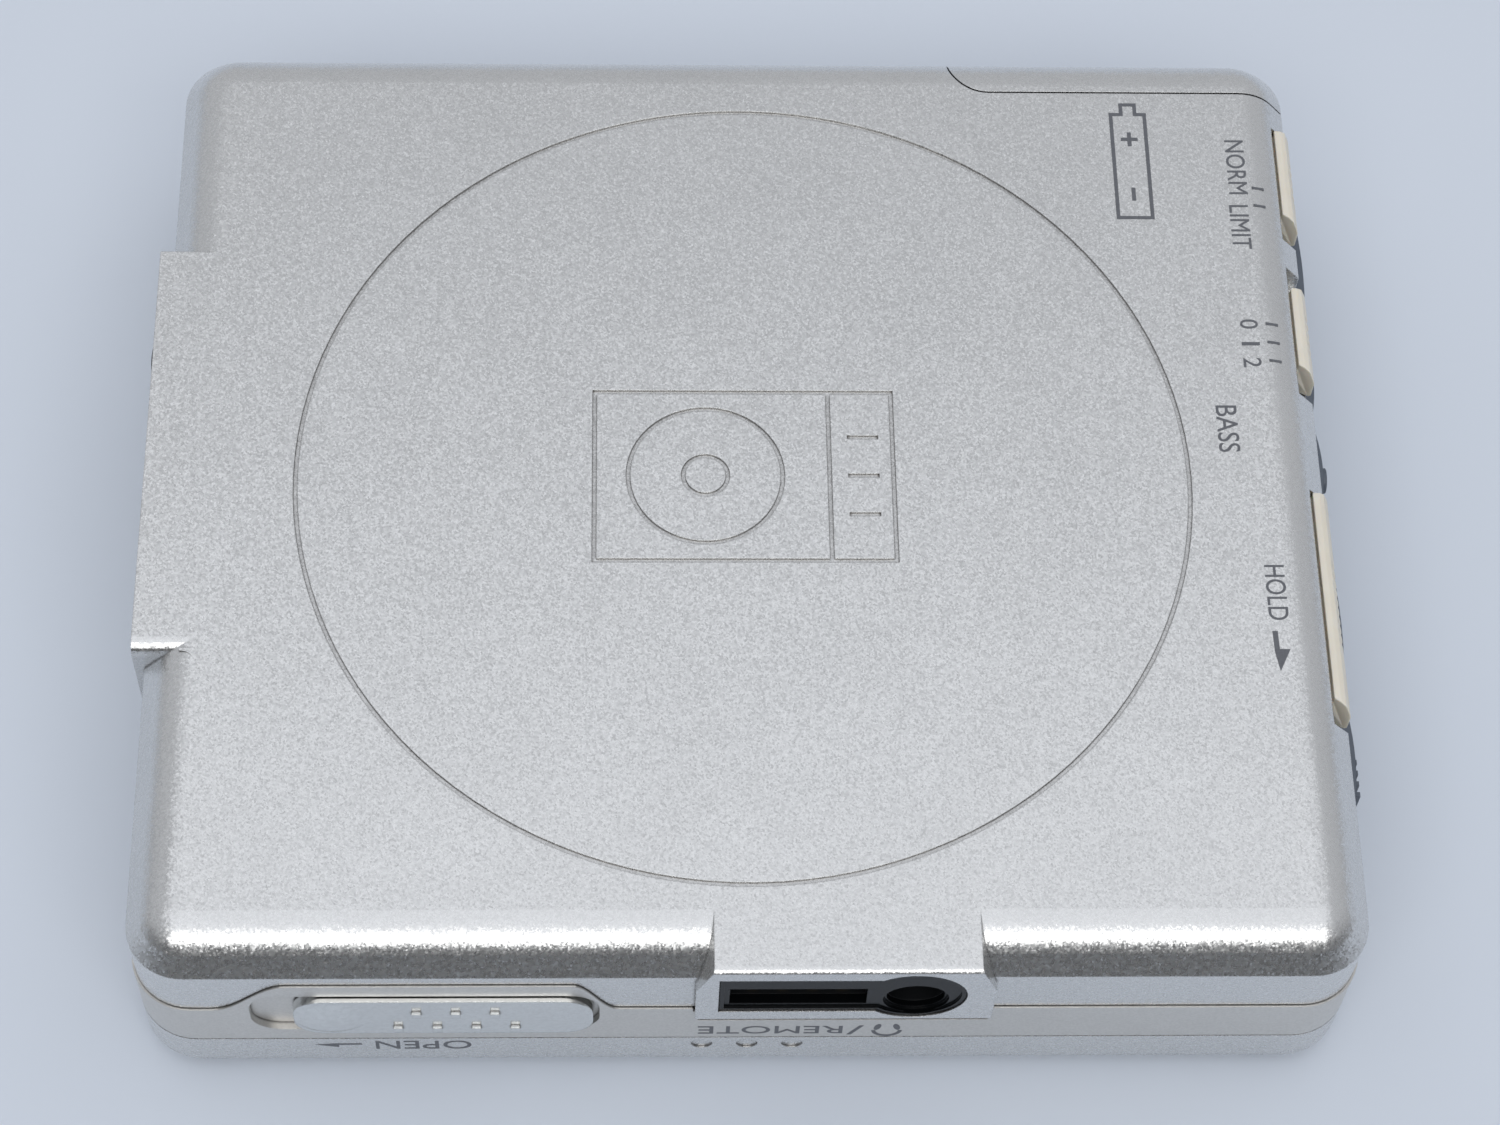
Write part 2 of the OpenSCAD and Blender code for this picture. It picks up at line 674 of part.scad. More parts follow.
module base_cover() {
    color("gainsboro") difference() {
        cover_solid();
        difference() {
            union() {
                translate([0, 0, seam_z - 1]) linear_extrude(step_z - seam_z + 1) plan(-wall);
                translate([0, 0, seam_z]) linear_extrude(base_inside - seam_z) plan(-wall - 2);
                block(battery_x0 - 0.2, battery_x1 + 0.2, battery_y0 - 0.2, battery_y1 + 0.2,
                    seam_z, base_inside);
            }
            for (p = board_screws_xy) translate([p[0], p[1], board_z1]) cylinder(r = 1.6, h = 3);
        }
        for (p = board_screws_xy) translate([p[0], p[1], board_z1 - 1]) cylinder(r = 0.6, h = 1.75);
        along_y(-front_y - 1, -front_y + wall + 0.3) seam_rise(seam_gap);
        block(jack_block_x0 + 1.2, jack_block_x1 - 1.2, bezel_back, -front_y + 4,
            seam_z - 2, base_inside - 0.2);
        along_y(jack_block_front - 1, bezel_back + hair) bezel_outline(0.05);
        slot_for(limiter_l, limiter_y1, 0, limiter_travel);
        slot_for(bass_l, bass_y1, bass_travel, bass_travel);
        slot_for(hold_l, hold_y1, 0, hold_travel);
        translate([0, 0, seam_z - 1]) linear_extrude(20) door_plan(seam_gap);
        block(-half_w - 2, -half_w, plug_y - plug_l / 2 - 0.05, plug_y + plug_l / 2 + 0.05,
            plug_z[0] - 0.05, plug_z[1] + 0.05);
        ring_groove(ring_r);
        cartridge_mark();
    }
}

// Frame wall, its hinge ears, the pads that carry the deck and the lugs of the battery door
module middle_frame() {
    color("silver") difference() {
        union() {
            difference() {
                translate([0, 0, frame_bottom]) linear_extrude(seam_z - frame_bottom) plan(lip);
                translate([0, 0, frame_bottom - 1]) linear_extrude(20) plan(lip - frame_wall);
            }
            along_y(-frame_front, -inner_front) seam_rise(0);
            along_x(jack_block_x0 + 0.2, jack_block_x1 - 0.2)
                polygon([[-inner_front, door_z0], [jack_block_front, door_z0],
                    [jack_block_front, door_z0 - 0.2], [-frame_front, door_z0 - 0.9],
                    [-inner_front, door_z0 - 0.9]]);
            intersection() {
                rod_along_x(hinge_y, lid_h, barrel_r, -barrel_x, barrel_x);
                block(-barrel_x, barrel_x, inner_rear, frame_rear + 1, 0, seam_z);
            }
            both_sides() {
                rod_along_x(hinge_y, lid_h, ear_r, hinge_ear_x[1][0], hinge_ear_x[1][1]);
                block(hinge_ear_x[1][0], hinge_ear_x[1][1], hinge_y - ear_r, inner_rear, lid_h, seam_z);
                for (y = pad_y) block(pad_x - 1.6, inner_x + 0.2, y - 1.7, y + 1.7, pad_z0, tray_z0);
            }
            for (x = door_lugs_x) {
                rod_along_x(door_axis_y, door_axis_z, door_barrel_r - 0.05, x[0], x[1]);
                block(x[0], x[1], lug_y0, door_axis_y, door_axis_z - 0.6, door_axis_z + 0.6);
                block(x[0], x[1], lug_y0, lug_y0 + 0.6, seam_z - 2, door_axis_z + 0.6);
                block(x[0], x[1], lug_y0, inner_rear + 0.1, seam_z - 2, door_z0 - 0.1);
            }
        }
        both_sides() {
            rod_along_x(hinge_y, lid_h, hinge_pin_r + running, barrel_x + 0.2, hinge_ear_x[1][1] + 0.05);
            rod_along_x(hinge_y, lid_h, ear_r + 0.15, hinge_ear_x[2][0] - 0.08, hinge_ear_x[2][1] + 0.1);
            rod_along_x(hinge_y, lid_h, ear_r + 0.15, barrel_x, hinge_ear_x[1][0] - 0.08);
            for (y = pad_y) translate([pad_x, y, pad_z0 - 1]) cylinder(r = 0.75, h = 2.4);
        }
        along_y(-frame_front - 1, -frame_front + window_depth)
            rounded_bar(window_x0, window_x1, window_z0, window_z1, 2);
        block(stem_x[0] - open_travel - 0.2, stem_x[1] + 0.2, -frame_front, -inner_front + 1,
            stem_z[0] - 0.2, stem_z[1] + 0.2);
        for (x = hook_x) block(x - nose_l - finger_w - open_travel - 0.3, x + 2.5,
            hook_y0 - 0.25, 0, 0, hook_top + 0.3);
        block(jack_block_x0 - 0.1, jack_block_x1 + 0.1, -frame_front - 1, -inner_front + 1,
            door_z0, seam_z + 1);
        for (y = button_rows) block(inner_x - 1, frame_half_w + 1, y[0] - button_gap, y[1] + button_gap,
            button_z0 - button_gap, button_z1 + button_gap);
        for (y = [volume_y, skip_y]) translate([pivot_x, (y[0] + y[1]) / 2, button_z0 - 0.45])
            cylinder(r = pivot_r + running, h = button_z1 - button_z0 + 0.9);
        translate([0, 0, door_z0]) linear_extrude(door_axis_z - 1.2 - door_z0 + 20) difference() {
            door_plan(seam_gap);
            for (x = door_lugs_x) translate([x[0], 0]) square([x[1] - x[0], 60]);
        }
        for (x = door_lugs_x) {
            block(x[0], x[1], inner_rear - 0.01, frame_rear + 1, door_z0, door_axis_z - 0.6);
            rod_along_x(door_axis_y, door_axis_z, door_pin_r + 0.01, x[0] - 1, x[1] + 1);
        }
    }
}

module deck_plate() {
    color("lightsteelblue") difference() {
        block(deck_x0, deck_x1, -deck_front, deck_rear, deck_z0, deck_z1);
        translate([0, 0, deck_z0 - 1]) cylinder(r = turntable_r + 0.6, h = 3);
        block(lens_x - sled_travel - 4, lens_x + 4, -4, 4, deck_z0 - 1, deck_z1 + 1);
        both_sides() for (y = pad_y) translate([pad_x, y, deck_z0 - 1]) cylinder(r = 0.8, h = 3);
        for (x = [22, -30]) translate([x, 22, deck_z0 - 1]) cylinder(r = 3, h = 3);
    }
}

module deck_dampers() {
    color("black") both_sides() for (y = pad_y) translate([pad_x, y, deck_z1]) difference() {
        cylinder(r = 1.5, h = pad_z0 - deck_z1);
        translate([0, 0, -1]) cylinder(r = 0.8, h = 3);
    }
}

module deck_screws() {
    color("gray") both_sides() for (y = pad_y) translate([pad_x, y, 0]) {
        translate([0, 0, deck_z0 - 0.1]) cylinder(r = 0.65, h = pad_z0 + 1.1 - deck_z0);
        difference() {
            translate([0, 0, deck_z0 - 0.35]) cylinder(r = 1.2, h = 0.35);
            translate([-0.9, -0.12, deck_z0 - 1]) cube([1.8, 0.24, 0.8]);
            translate([-0.12, -0.9, deck_z0 - 1]) cube([0.24, 1.8, 0.8]);
        }
    }
}

module main_board() {
    color("seagreen") translate([0, 0, board_z0]) linear_extrude(board_t) difference() {
        union() {
            translate([board_x0, board_y0]) square([board_x1 - board_x0, board_y1 - board_y0]);
            translate([board_x0, -front_y + 3.5])
                square([jack_block_x0 - 1.5 - board_x0, board_y0 + front_y]);
        }
        for (p = board_screws_xy) translate(p) circle(0.7);
    }
}

module board_chips() {
    color("black") {
        block(-26, -17, 10, 19, board_z1, board_z1 + 0.7);
        block(-8, 4, 12, 22, board_z1, board_z1 + 0.7);
        block(6, 13, -4, 3, board_z1, board_z1 + 0.7);
        block(-28, -20, -14, -7, board_z1, board_z1 + 0.7);
        block(-30, -24, -26, -21, board_z0 - 1, board_z0);
        block(-20, -12, 20, 26, board_z0 - 1, board_z0);
        block(0, 9, 20, 27, board_z0 - 1, board_z0);
    }
}

module board_screws() {
    color("gray") for (p = board_screws_xy) translate([p[0], p[1], 0]) {
        translate([0, 0, board_z0 - 0.1]) cylinder(r = 0.55, h = board_t + 0.7);
        difference() {
            translate([0, 0, board_z0 - 0.5]) cylinder(r = 1.2, h = 0.5);
            translate([-0.9, -0.12, board_z0 - 1]) cube([1.8, 0.24, 0.8]);
            translate([-0.12, -0.9, board_z0 - 1]) cube([0.24, 1.8, 0.8]);
        }
    }
}

module battery_cell() {
    color("dimgray") {
        along_y(battery_y0, battery_y1 - 0.5)
            rounded_bar(battery_x0, battery_x1, battery_z0, battery_z0 + battery_t, 1);
        block(battery_x0 + 5, battery_x1 - 5, battery_y1 - 0.5, battery_y1,
            battery_z0 + 1.6, battery_z0 + battery_t - 1.6);
    }
}

module battery_tray() {
    color("dimgray") difference() {
        block(tray_x0, tray_x1, battery_y0 - 0.8, battery_y1 + 0.1, tray_z0, step_z - 0.2);
        block(battery_x0 - 0.1, battery_x1 + 0.1, battery_y0 - 0.35, battery_y1 + 1,
            battery_z0 - 0.05, body_t);
        for (x = door_lugs_x) block(x[0] - 0.1, x[1] + 0.1, lug_y0 - 0.1, rear_y, 0, body_t);
    }
}

module battery_contact() {
    color("gold") {
        block(battery_x0 + 5, battery_x1 - 5, battery_y0 - 0.35, battery_y0 - 0.2,
            battery_z0 + 0.9, battery_z0 + 3.6);
        block(battery_x0 + 7, battery_x1 - 7, battery_y0 - 0.2, battery_y0,
            battery_z0 + 1.7, battery_z0 + 2.9);
    }
}

module headphone_jack() {
    color([0.12, 0.12, 0.13]) difference() {
        union() {
            block(jack_body_x0, jack_body_x1, bezel_back, bezel_back + jack_bore_l + 0.4,
                tray_z0 + 0.4, base_inside - 0.5);
            block(remote_x - 5.2, jack_body_x0, bezel_back, bezel_back + 6, tray_z0 + 0.4, base_inside - 0.5);
        }
        rod_along_y(jack_x, jack_z, jack_bore_r, bezel_back - 1, bezel_back + jack_bore_l);
        block(remote_x - remote_w / 2, remote_x + remote_w / 2, bezel_back - 1, bezel_back + 4.5,
            remote_z - remote_h / 2, remote_z + remote_h / 2);
    }
}

module jack_bezel() {
    color([0.05, 0.05, 0.06]) difference() {
        along_y(bezel_front, bezel_back) bezel_outline(0);
        along_y(bezel_front - 1, bezel_front + 0.15) bezel_outline(-0.3);
        rod_along_y(jack_x, jack_z, jack_bore_r + 0.3, bezel_front - 1, bezel_front + 0.4);
        rod_along_y(jack_x, jack_z, jack_bore_r + 0.05, bezel_front - 1, bezel_back + 1);
        block(remote_x - remote_w / 2, remote_x + remote_w / 2, bezel_front - 1, bezel_back + 1,
            remote_z - remote_h / 2, remote_z + remote_h / 2);
    }
}

module remote_contacts() {
    color("gold") for (i = [-1.5:1:1.5]) translate([remote_x + i * 1.9, 0, 0])
        block(-0.3, 0.3, bezel_back + 0.4, bezel_back + 4.5,
            remote_z - remote_h / 2, remote_z - remote_h / 2 + 0.3);
}

module terminal_plug() {
    r = plug_l * plug_l / 4 + 0.25;
    color([0.06, 0.06, 0.07]) intersection() {
        block(-half_w - 3, -half_w, plug_y - plug_l / 2, plug_y + plug_l / 2, plug_z[0], plug_z[1]);
        translate([-half_w - side_block_out - 0.5 + r, plug_y, plug_z[0] - 1])
            cylinder(r = r, h = 6, $fn = 180);
    }
}

module switch_board() {
    color("seagreen") {
        block(switch_board_x[0], switch_board_x[1], stop_y[0] - 1, limiter_y1,
            tray_z0 + 0.2, step_z - 0.2);
        block(switch_board_x[0], switch_board_x[1], stop_y[0] - 1, pad_y[1] - 2,
            button_z0 + 0.3, tray_z0 + 0.2);
    }
}

// Brown bodies of the three slide switches
module slide_switches() {
    color("saddlebrown") for (k = [[limiter_l, limiter_y1], [bass_l, bass_y1], [hold_l, hold_y1]])
        block(switch_board_x[1], knob_x0 - 0.1, k[1] - k[0] + 0.4, k[1] - 0.4, slot_z[0] - 0.1, step_z - 0.2);
}

module click_switches() {
    color("gray") for (y = button_rows)
        translate([0, (y[0] + y[1]) / 2, 0])
            block(switch_board_x[1], button_x0 - button_travel - 0.05, -1.3, 1.3,
                button_z0 + 0.5, button_z1 - 0.1);
}

// Flat cable from the main board to the switch board
module ribbon_cable() {
    fold_x = tray_x0 - 0.6;
    color("orange") {
        block(board_x1 - 9.5, fold_x, -2, 4, board_z0 - 0.15, board_z0);
        block(fold_x - 0.15, fold_x, -2, 4, deck_z1 + 0.6, board_z0);
        block(fold_x - 0.15, switch_board_x[0], -2, 4, deck_z1 + 0.45, deck_z1 + 0.6);
    }
}

module guide_rods() {
    color("gainsboro") for (y = [-rod_y0, rod_y0]) rod_along_x(y, rod_z, rod_r, deck_x0 + 0.3, -6.3);
}

module rod_clamps() {
    color("darkgray") for (y = [-rod_y0, rod_y0], x = [deck_x0 + 0.2, -7.6]) difference() {
        block(x, x + 1.1, y - 1.1, y + 1.1, deck_z1, rod_z + 1.1);
        rod_along_x(y, rod_z, rod_r + 0.01, x - 1, x + 3);
    }
}

module spindle_motor() {
    color("silver") difference() {
        union() {
            translate([0, 0, deck_z1]) cylinder(r = motor_r, h = 0.5);
            translate([0, 0, deck_z1 + 0.5]) cylinder(r = motor_r - 0.7, h = 3);
        }
        translate([0, 0, deck_z1 - 1]) cylinder(r = turntable_r + 0.6, h = 1.5);
        translate([0, 0, deck_z1]) cylinder(r = shaft_r + running, h = 3.2);
    }
}

module sled_motor() {
    color("silver") {
        rod_along_x(pinion_y, screw_z, 2.6, -6.6, 3.4);
        block(-5.6, 2.4, pinion_y - 2, pinion_y + 2, deck_z1, screw_z);
    }
}

module screw_bearings() {
    color("ivory") for (x = [screw_x0 + 0.2, -10.3]) difference() {
        block(x, x + 1, screw_y - 1.6, screw_y + 1.6, deck_z1, screw_z + 1.6);
        rod_along_x(screw_y, screw_z, screw_r + running, x - 1, x + 3);
    }
}

module battery_door() {
    color("gainsboro") difference() {
        union() {
            intersection() {
                difference() {
                    base_slab(door_z0 + seam_gap);
                    translate([0, 0, seam_z - 2]) linear_extrude(step_z - seam_z + 2) plan(-wall + 0.35);
                    translate([0, 0, seam_z - 2]) linear_extrude(base_inside - seam_z + 2) plan(-wall - 1.6);
                    block(battery_x0 - 0.2, battery_x1 + 0.2, battery_y1 - 5, battery_y1 + 0.25,
                        seam_z - 2, base_inside);
                }
                translate([0, 0, door_z0]) linear_extrude(20) door_plan(0);
            }
            for (x = door_ears_x) {
                rod_along_x(door_axis_y, door_axis_z, door_barrel_r - 0.02, x[0], x[1]);
                block(x[0], x[1], door_axis_y, rear_y - 0.4, door_axis_z, door_axis_z + 1);
            }
        }
        difference() {
            block(door_x0 - 1, half_w + 1, door_axis_y, rear_y + 1, door_z0 - 1, door_axis_z);
            rod_along_x(door_axis_y, door_axis_z, door_barrel_r, door_x0 - 2, half_w + 2);
        }
        for (x = door_lugs_x)
            block(x[0] - 0.1, x[1] + 0.1, lug_y0 - 1, rear_y + 1,
                door_z0 - 1, door_axis_z + door_barrel_r + 0.15);
        for (x = door_ears_x)
            rod_along_x(door_axis_y, door_axis_z, door_pin_r + running, x[0] - 0.1, x[1] + 0.05);
    }
}

module door_pins() {
    color("gainsboro") {
        rod_along_x(door_axis_y, door_axis_z, door_pin_r, door_ears_x[0][0], door_lugs_x[0][1]);
        rod_along_x(door_axis_y, door_axis_z, door_pin_r, door_lugs_x[1][0], door_ears_x[1][1]);
    }
}

module door_contact() {
    color("gold") {
        block(battery_x0 + 5, battery_x1 - 5, rear_y - 0.8, rear_y - 0.65,
            battery_z0 + 1.25, battery_z0 + 3.65);
        block(battery_x0 + 7.5, battery_x1 - 7.5, battery_y1 + 0.05, rear_y - 0.8,
            battery_z0 + 2.05, battery_z0 + 3.05);
    }
}

// Small square bump on the knob's face
module bump(x, z, face) {
    block(x - 0.3, x + 0.3, face - 0.25, face, z - 0.3, z + 0.3);
}

module open_knob() {
    face = -frame_front - 0.35;
    lobe_x = window_x0 + 5.1;
    lobe_z = (window_z0 + window_z1) / 2;
    bump_x = window_x0 + 9.4;
    lobe_r = 2.3;
    lobe_out = 0.5;
    ball_r = (lobe_r * lobe_r + lobe_out * lobe_out) / (2 * lobe_out);
    color("silver") {
        along_y(face, -frame_front + window_depth - 0.1)
            rounded_bar(window_x0 + 2.8, window_x1 - 0.4, window_z0 + 0.15, window_z1 - 0.15, 2);
        block(stem_x[0], stem_x[1], -frame_front + window_depth - 0.1, -inner_front + 0.15,
            stem_z[0], stem_z[1]);
        intersection() {
            translate([lobe_x, face - lobe_out + ball_r, lobe_z]) sphere(r = ball_r);
            block(lobe_x - 5, lobe_x + 5, face - 2, face, lobe_z - 5, lobe_z + 5);
        }
        for (i = [0:2]) bump(bump_x + 1.25 + 2.5 * i, window_z0 + 3.5, face);
        for (i = [0:3]) bump(bump_x + 2.5 * i, window_z0 + 1.2, face);
    }
}

module latch_bar() {
    color("lightsteelblue") {
        block(stem_x[0] - 3, hook_x[1] - nose_l - 0.15, hook_y1 + 0.05, bar_y1, bar_z0, bar_z1);
        for (x = hook_x)
            block(x - nose_l - finger_w, x - nose_l - 0.15, hook_y0, hook_y1 + 0.05, bar_z0, bar_z0 + 0.65);
    }
}

module limiter_knob() {
    color([0.85, 0.83, 0.74]) slide_knob(limiter_l, limiter_y1);
}

module bass_knob() {
    color([0.85, 0.83, 0.74]) slide_knob(bass_l, bass_y1);
}

module hold_knob() {
    color([0.85, 0.83, 0.74]) slide_knob(hold_l, hold_y1);
}

// Upright pin at the middle of a rocker
module pivot(y) {
    translate([pivot_x, (y[0] + y[1]) / 2, button_z0 - 0.4])
        cylinder(r = pivot_r, h = button_z1 - button_z0 + 0.8);
}

module volume_rocker() {
    color([0.3, 0.33, 0.38]) {
        button_bar(volume_y, button_x1, 0.5);
        pivot(volume_y);
    }
}

module mode_button() {
    color([0.3, 0.33, 0.38]) button_bar(mode_y, button_x1 - 0.1, 0.3);
}

module play_button() {
    color([0.3, 0.33, 0.38]) {
        button_bar(play_y, button_x1 - 0.1, 0.4);
        rod_along_x(5, (button_z0 + button_z1) / 2, 0.9, button_x1 - 0.3, button_x1 + 0.2);
    }
}

module skip_rocker() {
    color([0.3, 0.33, 0.38]) {
        button_bar(skip_y, button_x1, 0.3);
        pivot(skip_y);
        for (y = [-10.8, -3.6])
            rod_along_x(y, (button_z0 + button_z1) / 2, 0.5, button_x1 - 0.4, button_x1 + 0.1);
    }
}

module stop_button() {
    color([0.3, 0.33, 0.38]) {
        button_bar(stop_y, button_x1 - 0.05, 0.35);
        for (y = [-20:0.8:-16.8])
            block(button_x1 - 0.5, button_x1 + 0.1, y, y + 0.35, button_z0 + 0.4, button_z1 - 0.4);
    }
}

module turntable() {
    color("whitesmoke") difference() {
        union() {
            translate([0, 0, deck_z0 - 0.4]) cylinder(r = turntable_r, h = deck_t + 0.3);
            translate([0, 0, deck_z0 - 1.2]) cylinder(r = 3.8, h = 1);
        }
        translate([0, 0, deck_z0 - 2]) cylinder(r = 3.05, h = 1.2);
        translate([0, 0, deck_z0 - 2]) cylinder(r = shaft_r + 0.01, h = 5);
    }
}

module hub_magnet() {
    color("dimgray") translate([0, 0, deck_z0 - 1.4]) difference() {
        cylinder(r = 3, h = 0.6);
        translate([0, 0, -1]) cylinder(r = shaft_r + 0.1, h = 3);
    }
}

module spindle_shaft() {
    color("gainsboro") translate([0, 0, deck_z0 - 1.5]) cylinder(r = shaft_r, h = deck_t + 4.5);
}

module pickup_sled() {
    color("darkgray") difference() {
        union() {
            block(sled_x0, sled_x1, -rod_y0 - 1.4, rod_y0 + 1.4, deck_z1 + 0.3, deck_z1 + 4.5);
            block(sled_x1 - 4, sled_x1 - 1.4, screw_y - 1.8, -rod_y0, screw_z - 1.6, screw_z + 1.6);
        }
        for (y = [-rod_y0, rod_y0]) rod_along_x(y, rod_z, rod_r + running, sled_x0 - 1, sled_x1 + 1);
        rod_along_x(screw_y, screw_z, screw_r + running, sled_x0, sled_x1);
    }
}

module lens_holder() {
    color([0.1, 0.1, 0.11]) block(lens_x - 3.5, lens_x + 3.5, -3, 3, deck_z0 + 0.05, deck_z1 + 0.3);
}

module objective_lens() {
    h = 0.38;
    ball_r = (lens_r * lens_r + h * h) / (2 * h);
    edge_a = asin(lens_r / ball_r);
    color([0.55, 0.65, 0.85]) translate([lens_x, 0, deck_z0 + 0.05 - h]) rotate_extrude()
        polygon([for (i = [0:8]) [ball_r * sin(i * edge_a / 8), ball_r * (1 - cos(i * edge_a / 8))],
            [0, h]]);
}

module lead_screw() {
    thread = 0.25;
    color("gainsboro") difference() {
        rod_along_x(screw_y, screw_z, screw_r, screw_x0, screw_x1);
        for (x = [screw_x0 + 2 : screw_pitch / 2 : -11.5]) difference() {
            rod_along_x(screw_y, screw_z, screw_r + 1, x, x + thread * 2);
            rod_along_x(screw_y, screw_z, screw_r - thread, x - 1, x + 2);
        }
    }
}

module screw_gear() {
    color("ivory") along_x(gear_x[0], gear_x[1]) translate([screw_y, screw_z]) difference() {
        gear_outline(gear_teeth);
        circle(screw_r + 0.01);
    }
}

module motor_pinion() {
    color("goldenrod") {
        along_x(gear_x[0] - 0.1, gear_x[1] + 0.1) translate([pinion_y, screw_z])
            rotate(180 / pinion_teeth) gear_outline(pinion_teeth);
        rod_along_x(pinion_y, screw_z, 0.5, gear_x[1], -6.65);
    }
}

lid_cover();
lid_liner();
lid_screws();
hinge_brackets();
hinge_pins();
catch_hooks();
disc_holder();
holder_springs();
base_cover();
middle_frame();
deck_plate();
deck_dampers();
deck_screws();
main_board();
board_chips();
board_screws();
battery_cell();
battery_tray();
battery_contact();
headphone_jack();
jack_bezel();
remote_contacts();
terminal_plug();
switch_board();
slide_switches();
click_switches();
ribbon_cable();
guide_rods();
rod_clamps();
spindle_motor();
sled_motor();
screw_bearings();
battery_door();
door_pins();
door_contact();
open_knob();
latch_bar();
limiter_knob();
bass_knob();
hold_knob();
volume_rocker();
mode_button();
play_button();
skip_rocker();
stop_button();
turntable();
hub_magnet();
spindle_shaft();
pickup_sled();
lens_holder();
objective_lens();
lead_screw();
screw_gear();
motor_pinion();
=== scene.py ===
import math
import bmesh
import bpy
from mathutils import Matrix, Vector


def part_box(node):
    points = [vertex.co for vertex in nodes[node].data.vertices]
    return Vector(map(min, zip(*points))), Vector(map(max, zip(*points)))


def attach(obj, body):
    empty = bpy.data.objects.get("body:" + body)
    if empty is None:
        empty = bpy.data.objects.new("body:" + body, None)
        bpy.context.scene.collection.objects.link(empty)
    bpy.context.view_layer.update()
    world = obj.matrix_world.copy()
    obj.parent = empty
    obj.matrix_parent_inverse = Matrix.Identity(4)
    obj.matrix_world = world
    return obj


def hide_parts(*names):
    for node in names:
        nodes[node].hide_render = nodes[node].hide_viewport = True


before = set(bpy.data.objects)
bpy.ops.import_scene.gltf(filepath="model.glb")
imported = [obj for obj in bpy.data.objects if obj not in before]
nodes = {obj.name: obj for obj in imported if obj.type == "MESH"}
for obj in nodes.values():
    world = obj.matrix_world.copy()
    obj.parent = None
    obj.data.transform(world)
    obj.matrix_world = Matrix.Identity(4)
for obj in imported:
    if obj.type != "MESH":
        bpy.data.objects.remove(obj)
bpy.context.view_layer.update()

mm = 0.001                                # everything is in metres
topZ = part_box("base_cover")[1].z
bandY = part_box("lid_cover")[0].y          # front face of the lid and the middle band
print("frame loaded with", len(nodes), "nodes")


def linear(code):
    # sRGB hex to the linear colour that the shaders use
    parts = [int(code[i:i + 2], 16) / 255 for i in (1, 3, 5)]
    return [p / 12.92 if p <= 0.04045 else ((p + 0.055) / 1.055) ** 2.4 for p in parts] + [1]


def addNode(tree, kind, settings=None, links=None):
    # lower-case keys are the node's own settings, the others are its sockets
    node = tree.nodes.new(kind)
    for key, value in (settings or {}).items():
        if isinstance(key, str) and key.islower():
            setattr(node, key, value)
    for key, value in (settings or {}).items():
        if not (isinstance(key, str) and key.islower()):
            node.inputs[key].default_value = value
    for key, source in (links or {}).items():
        tree.links.new(source, node.inputs[key])
    return node


# the camera stands where the photograph was taken from, and rolls by a few degrees
cameraLook = {
    "lens": 86.7, "sensor": 36.0, "near": 0.01,
    "position": (-8.13 * mm, -123.82 * mm, 225.5 * mm),
    "target": (0.275 * mm, -6.72 * mm, 17.2 * mm),
    "roll": 3.64,
}


def placeCamera(look):
    data = bpy.data.cameras.new("camera")
    data.lens, data.sensor_width, data.clip_start = look["lens"], look["sensor"], look["near"]
    camera = bpy.data.objects.new("camera", data)
    bpy.context.scene.collection.objects.link(camera)
    place = Vector(look["position"])
    back = (place - Vector(look["target"])).normalized()
    side = Vector((0, 0, 1)).cross(back).normalized()
    up = back.cross(side)
    turn = math.radians(look["roll"])
    right = side * math.cos(turn) + up * math.sin(turn)
    top = up * math.cos(turn) - side * math.sin(turn)
    camera.matrix_world = Matrix((
        (right.x, top.x, back.x, place.x),
        (right.y, top.y, back.y, place.y),
        (right.z, top.z, back.z, place.z),
        (0, 0, 0, 1)))
    bpy.context.scene.camera = camera


placeCamera(cameraLook)
print("camera placed")

# bright sky behind and above, dark low in front, one wide light box before the object and one over it
studio = {
    "dark": "#1c1b1a", "bright": "#f3f6fc", "low": -0.50, "high": 0.60,
    "lean": (0.02, 0.62, 0.75), "strength": 0.60,
    "floor": "#d2d9e3", "floorSize": 3.0, "floorGap": 0.03, "floorRough": 0.75,
    "lamps": [
        # name, place, aim, width, depth, watts, colour
        ("frontBox", (0.0, -1.31, 1.56), (0.0, -0.02, 0.0), 2.4, 0.87, 17.5, "#ffffff"),
        ("ceilingBox", (0.0, 0.10, 1.75), (0.0, 0.10, 0.0), 2.4, 1.80, 7.4, "#f6f9ff"),
    ],
}


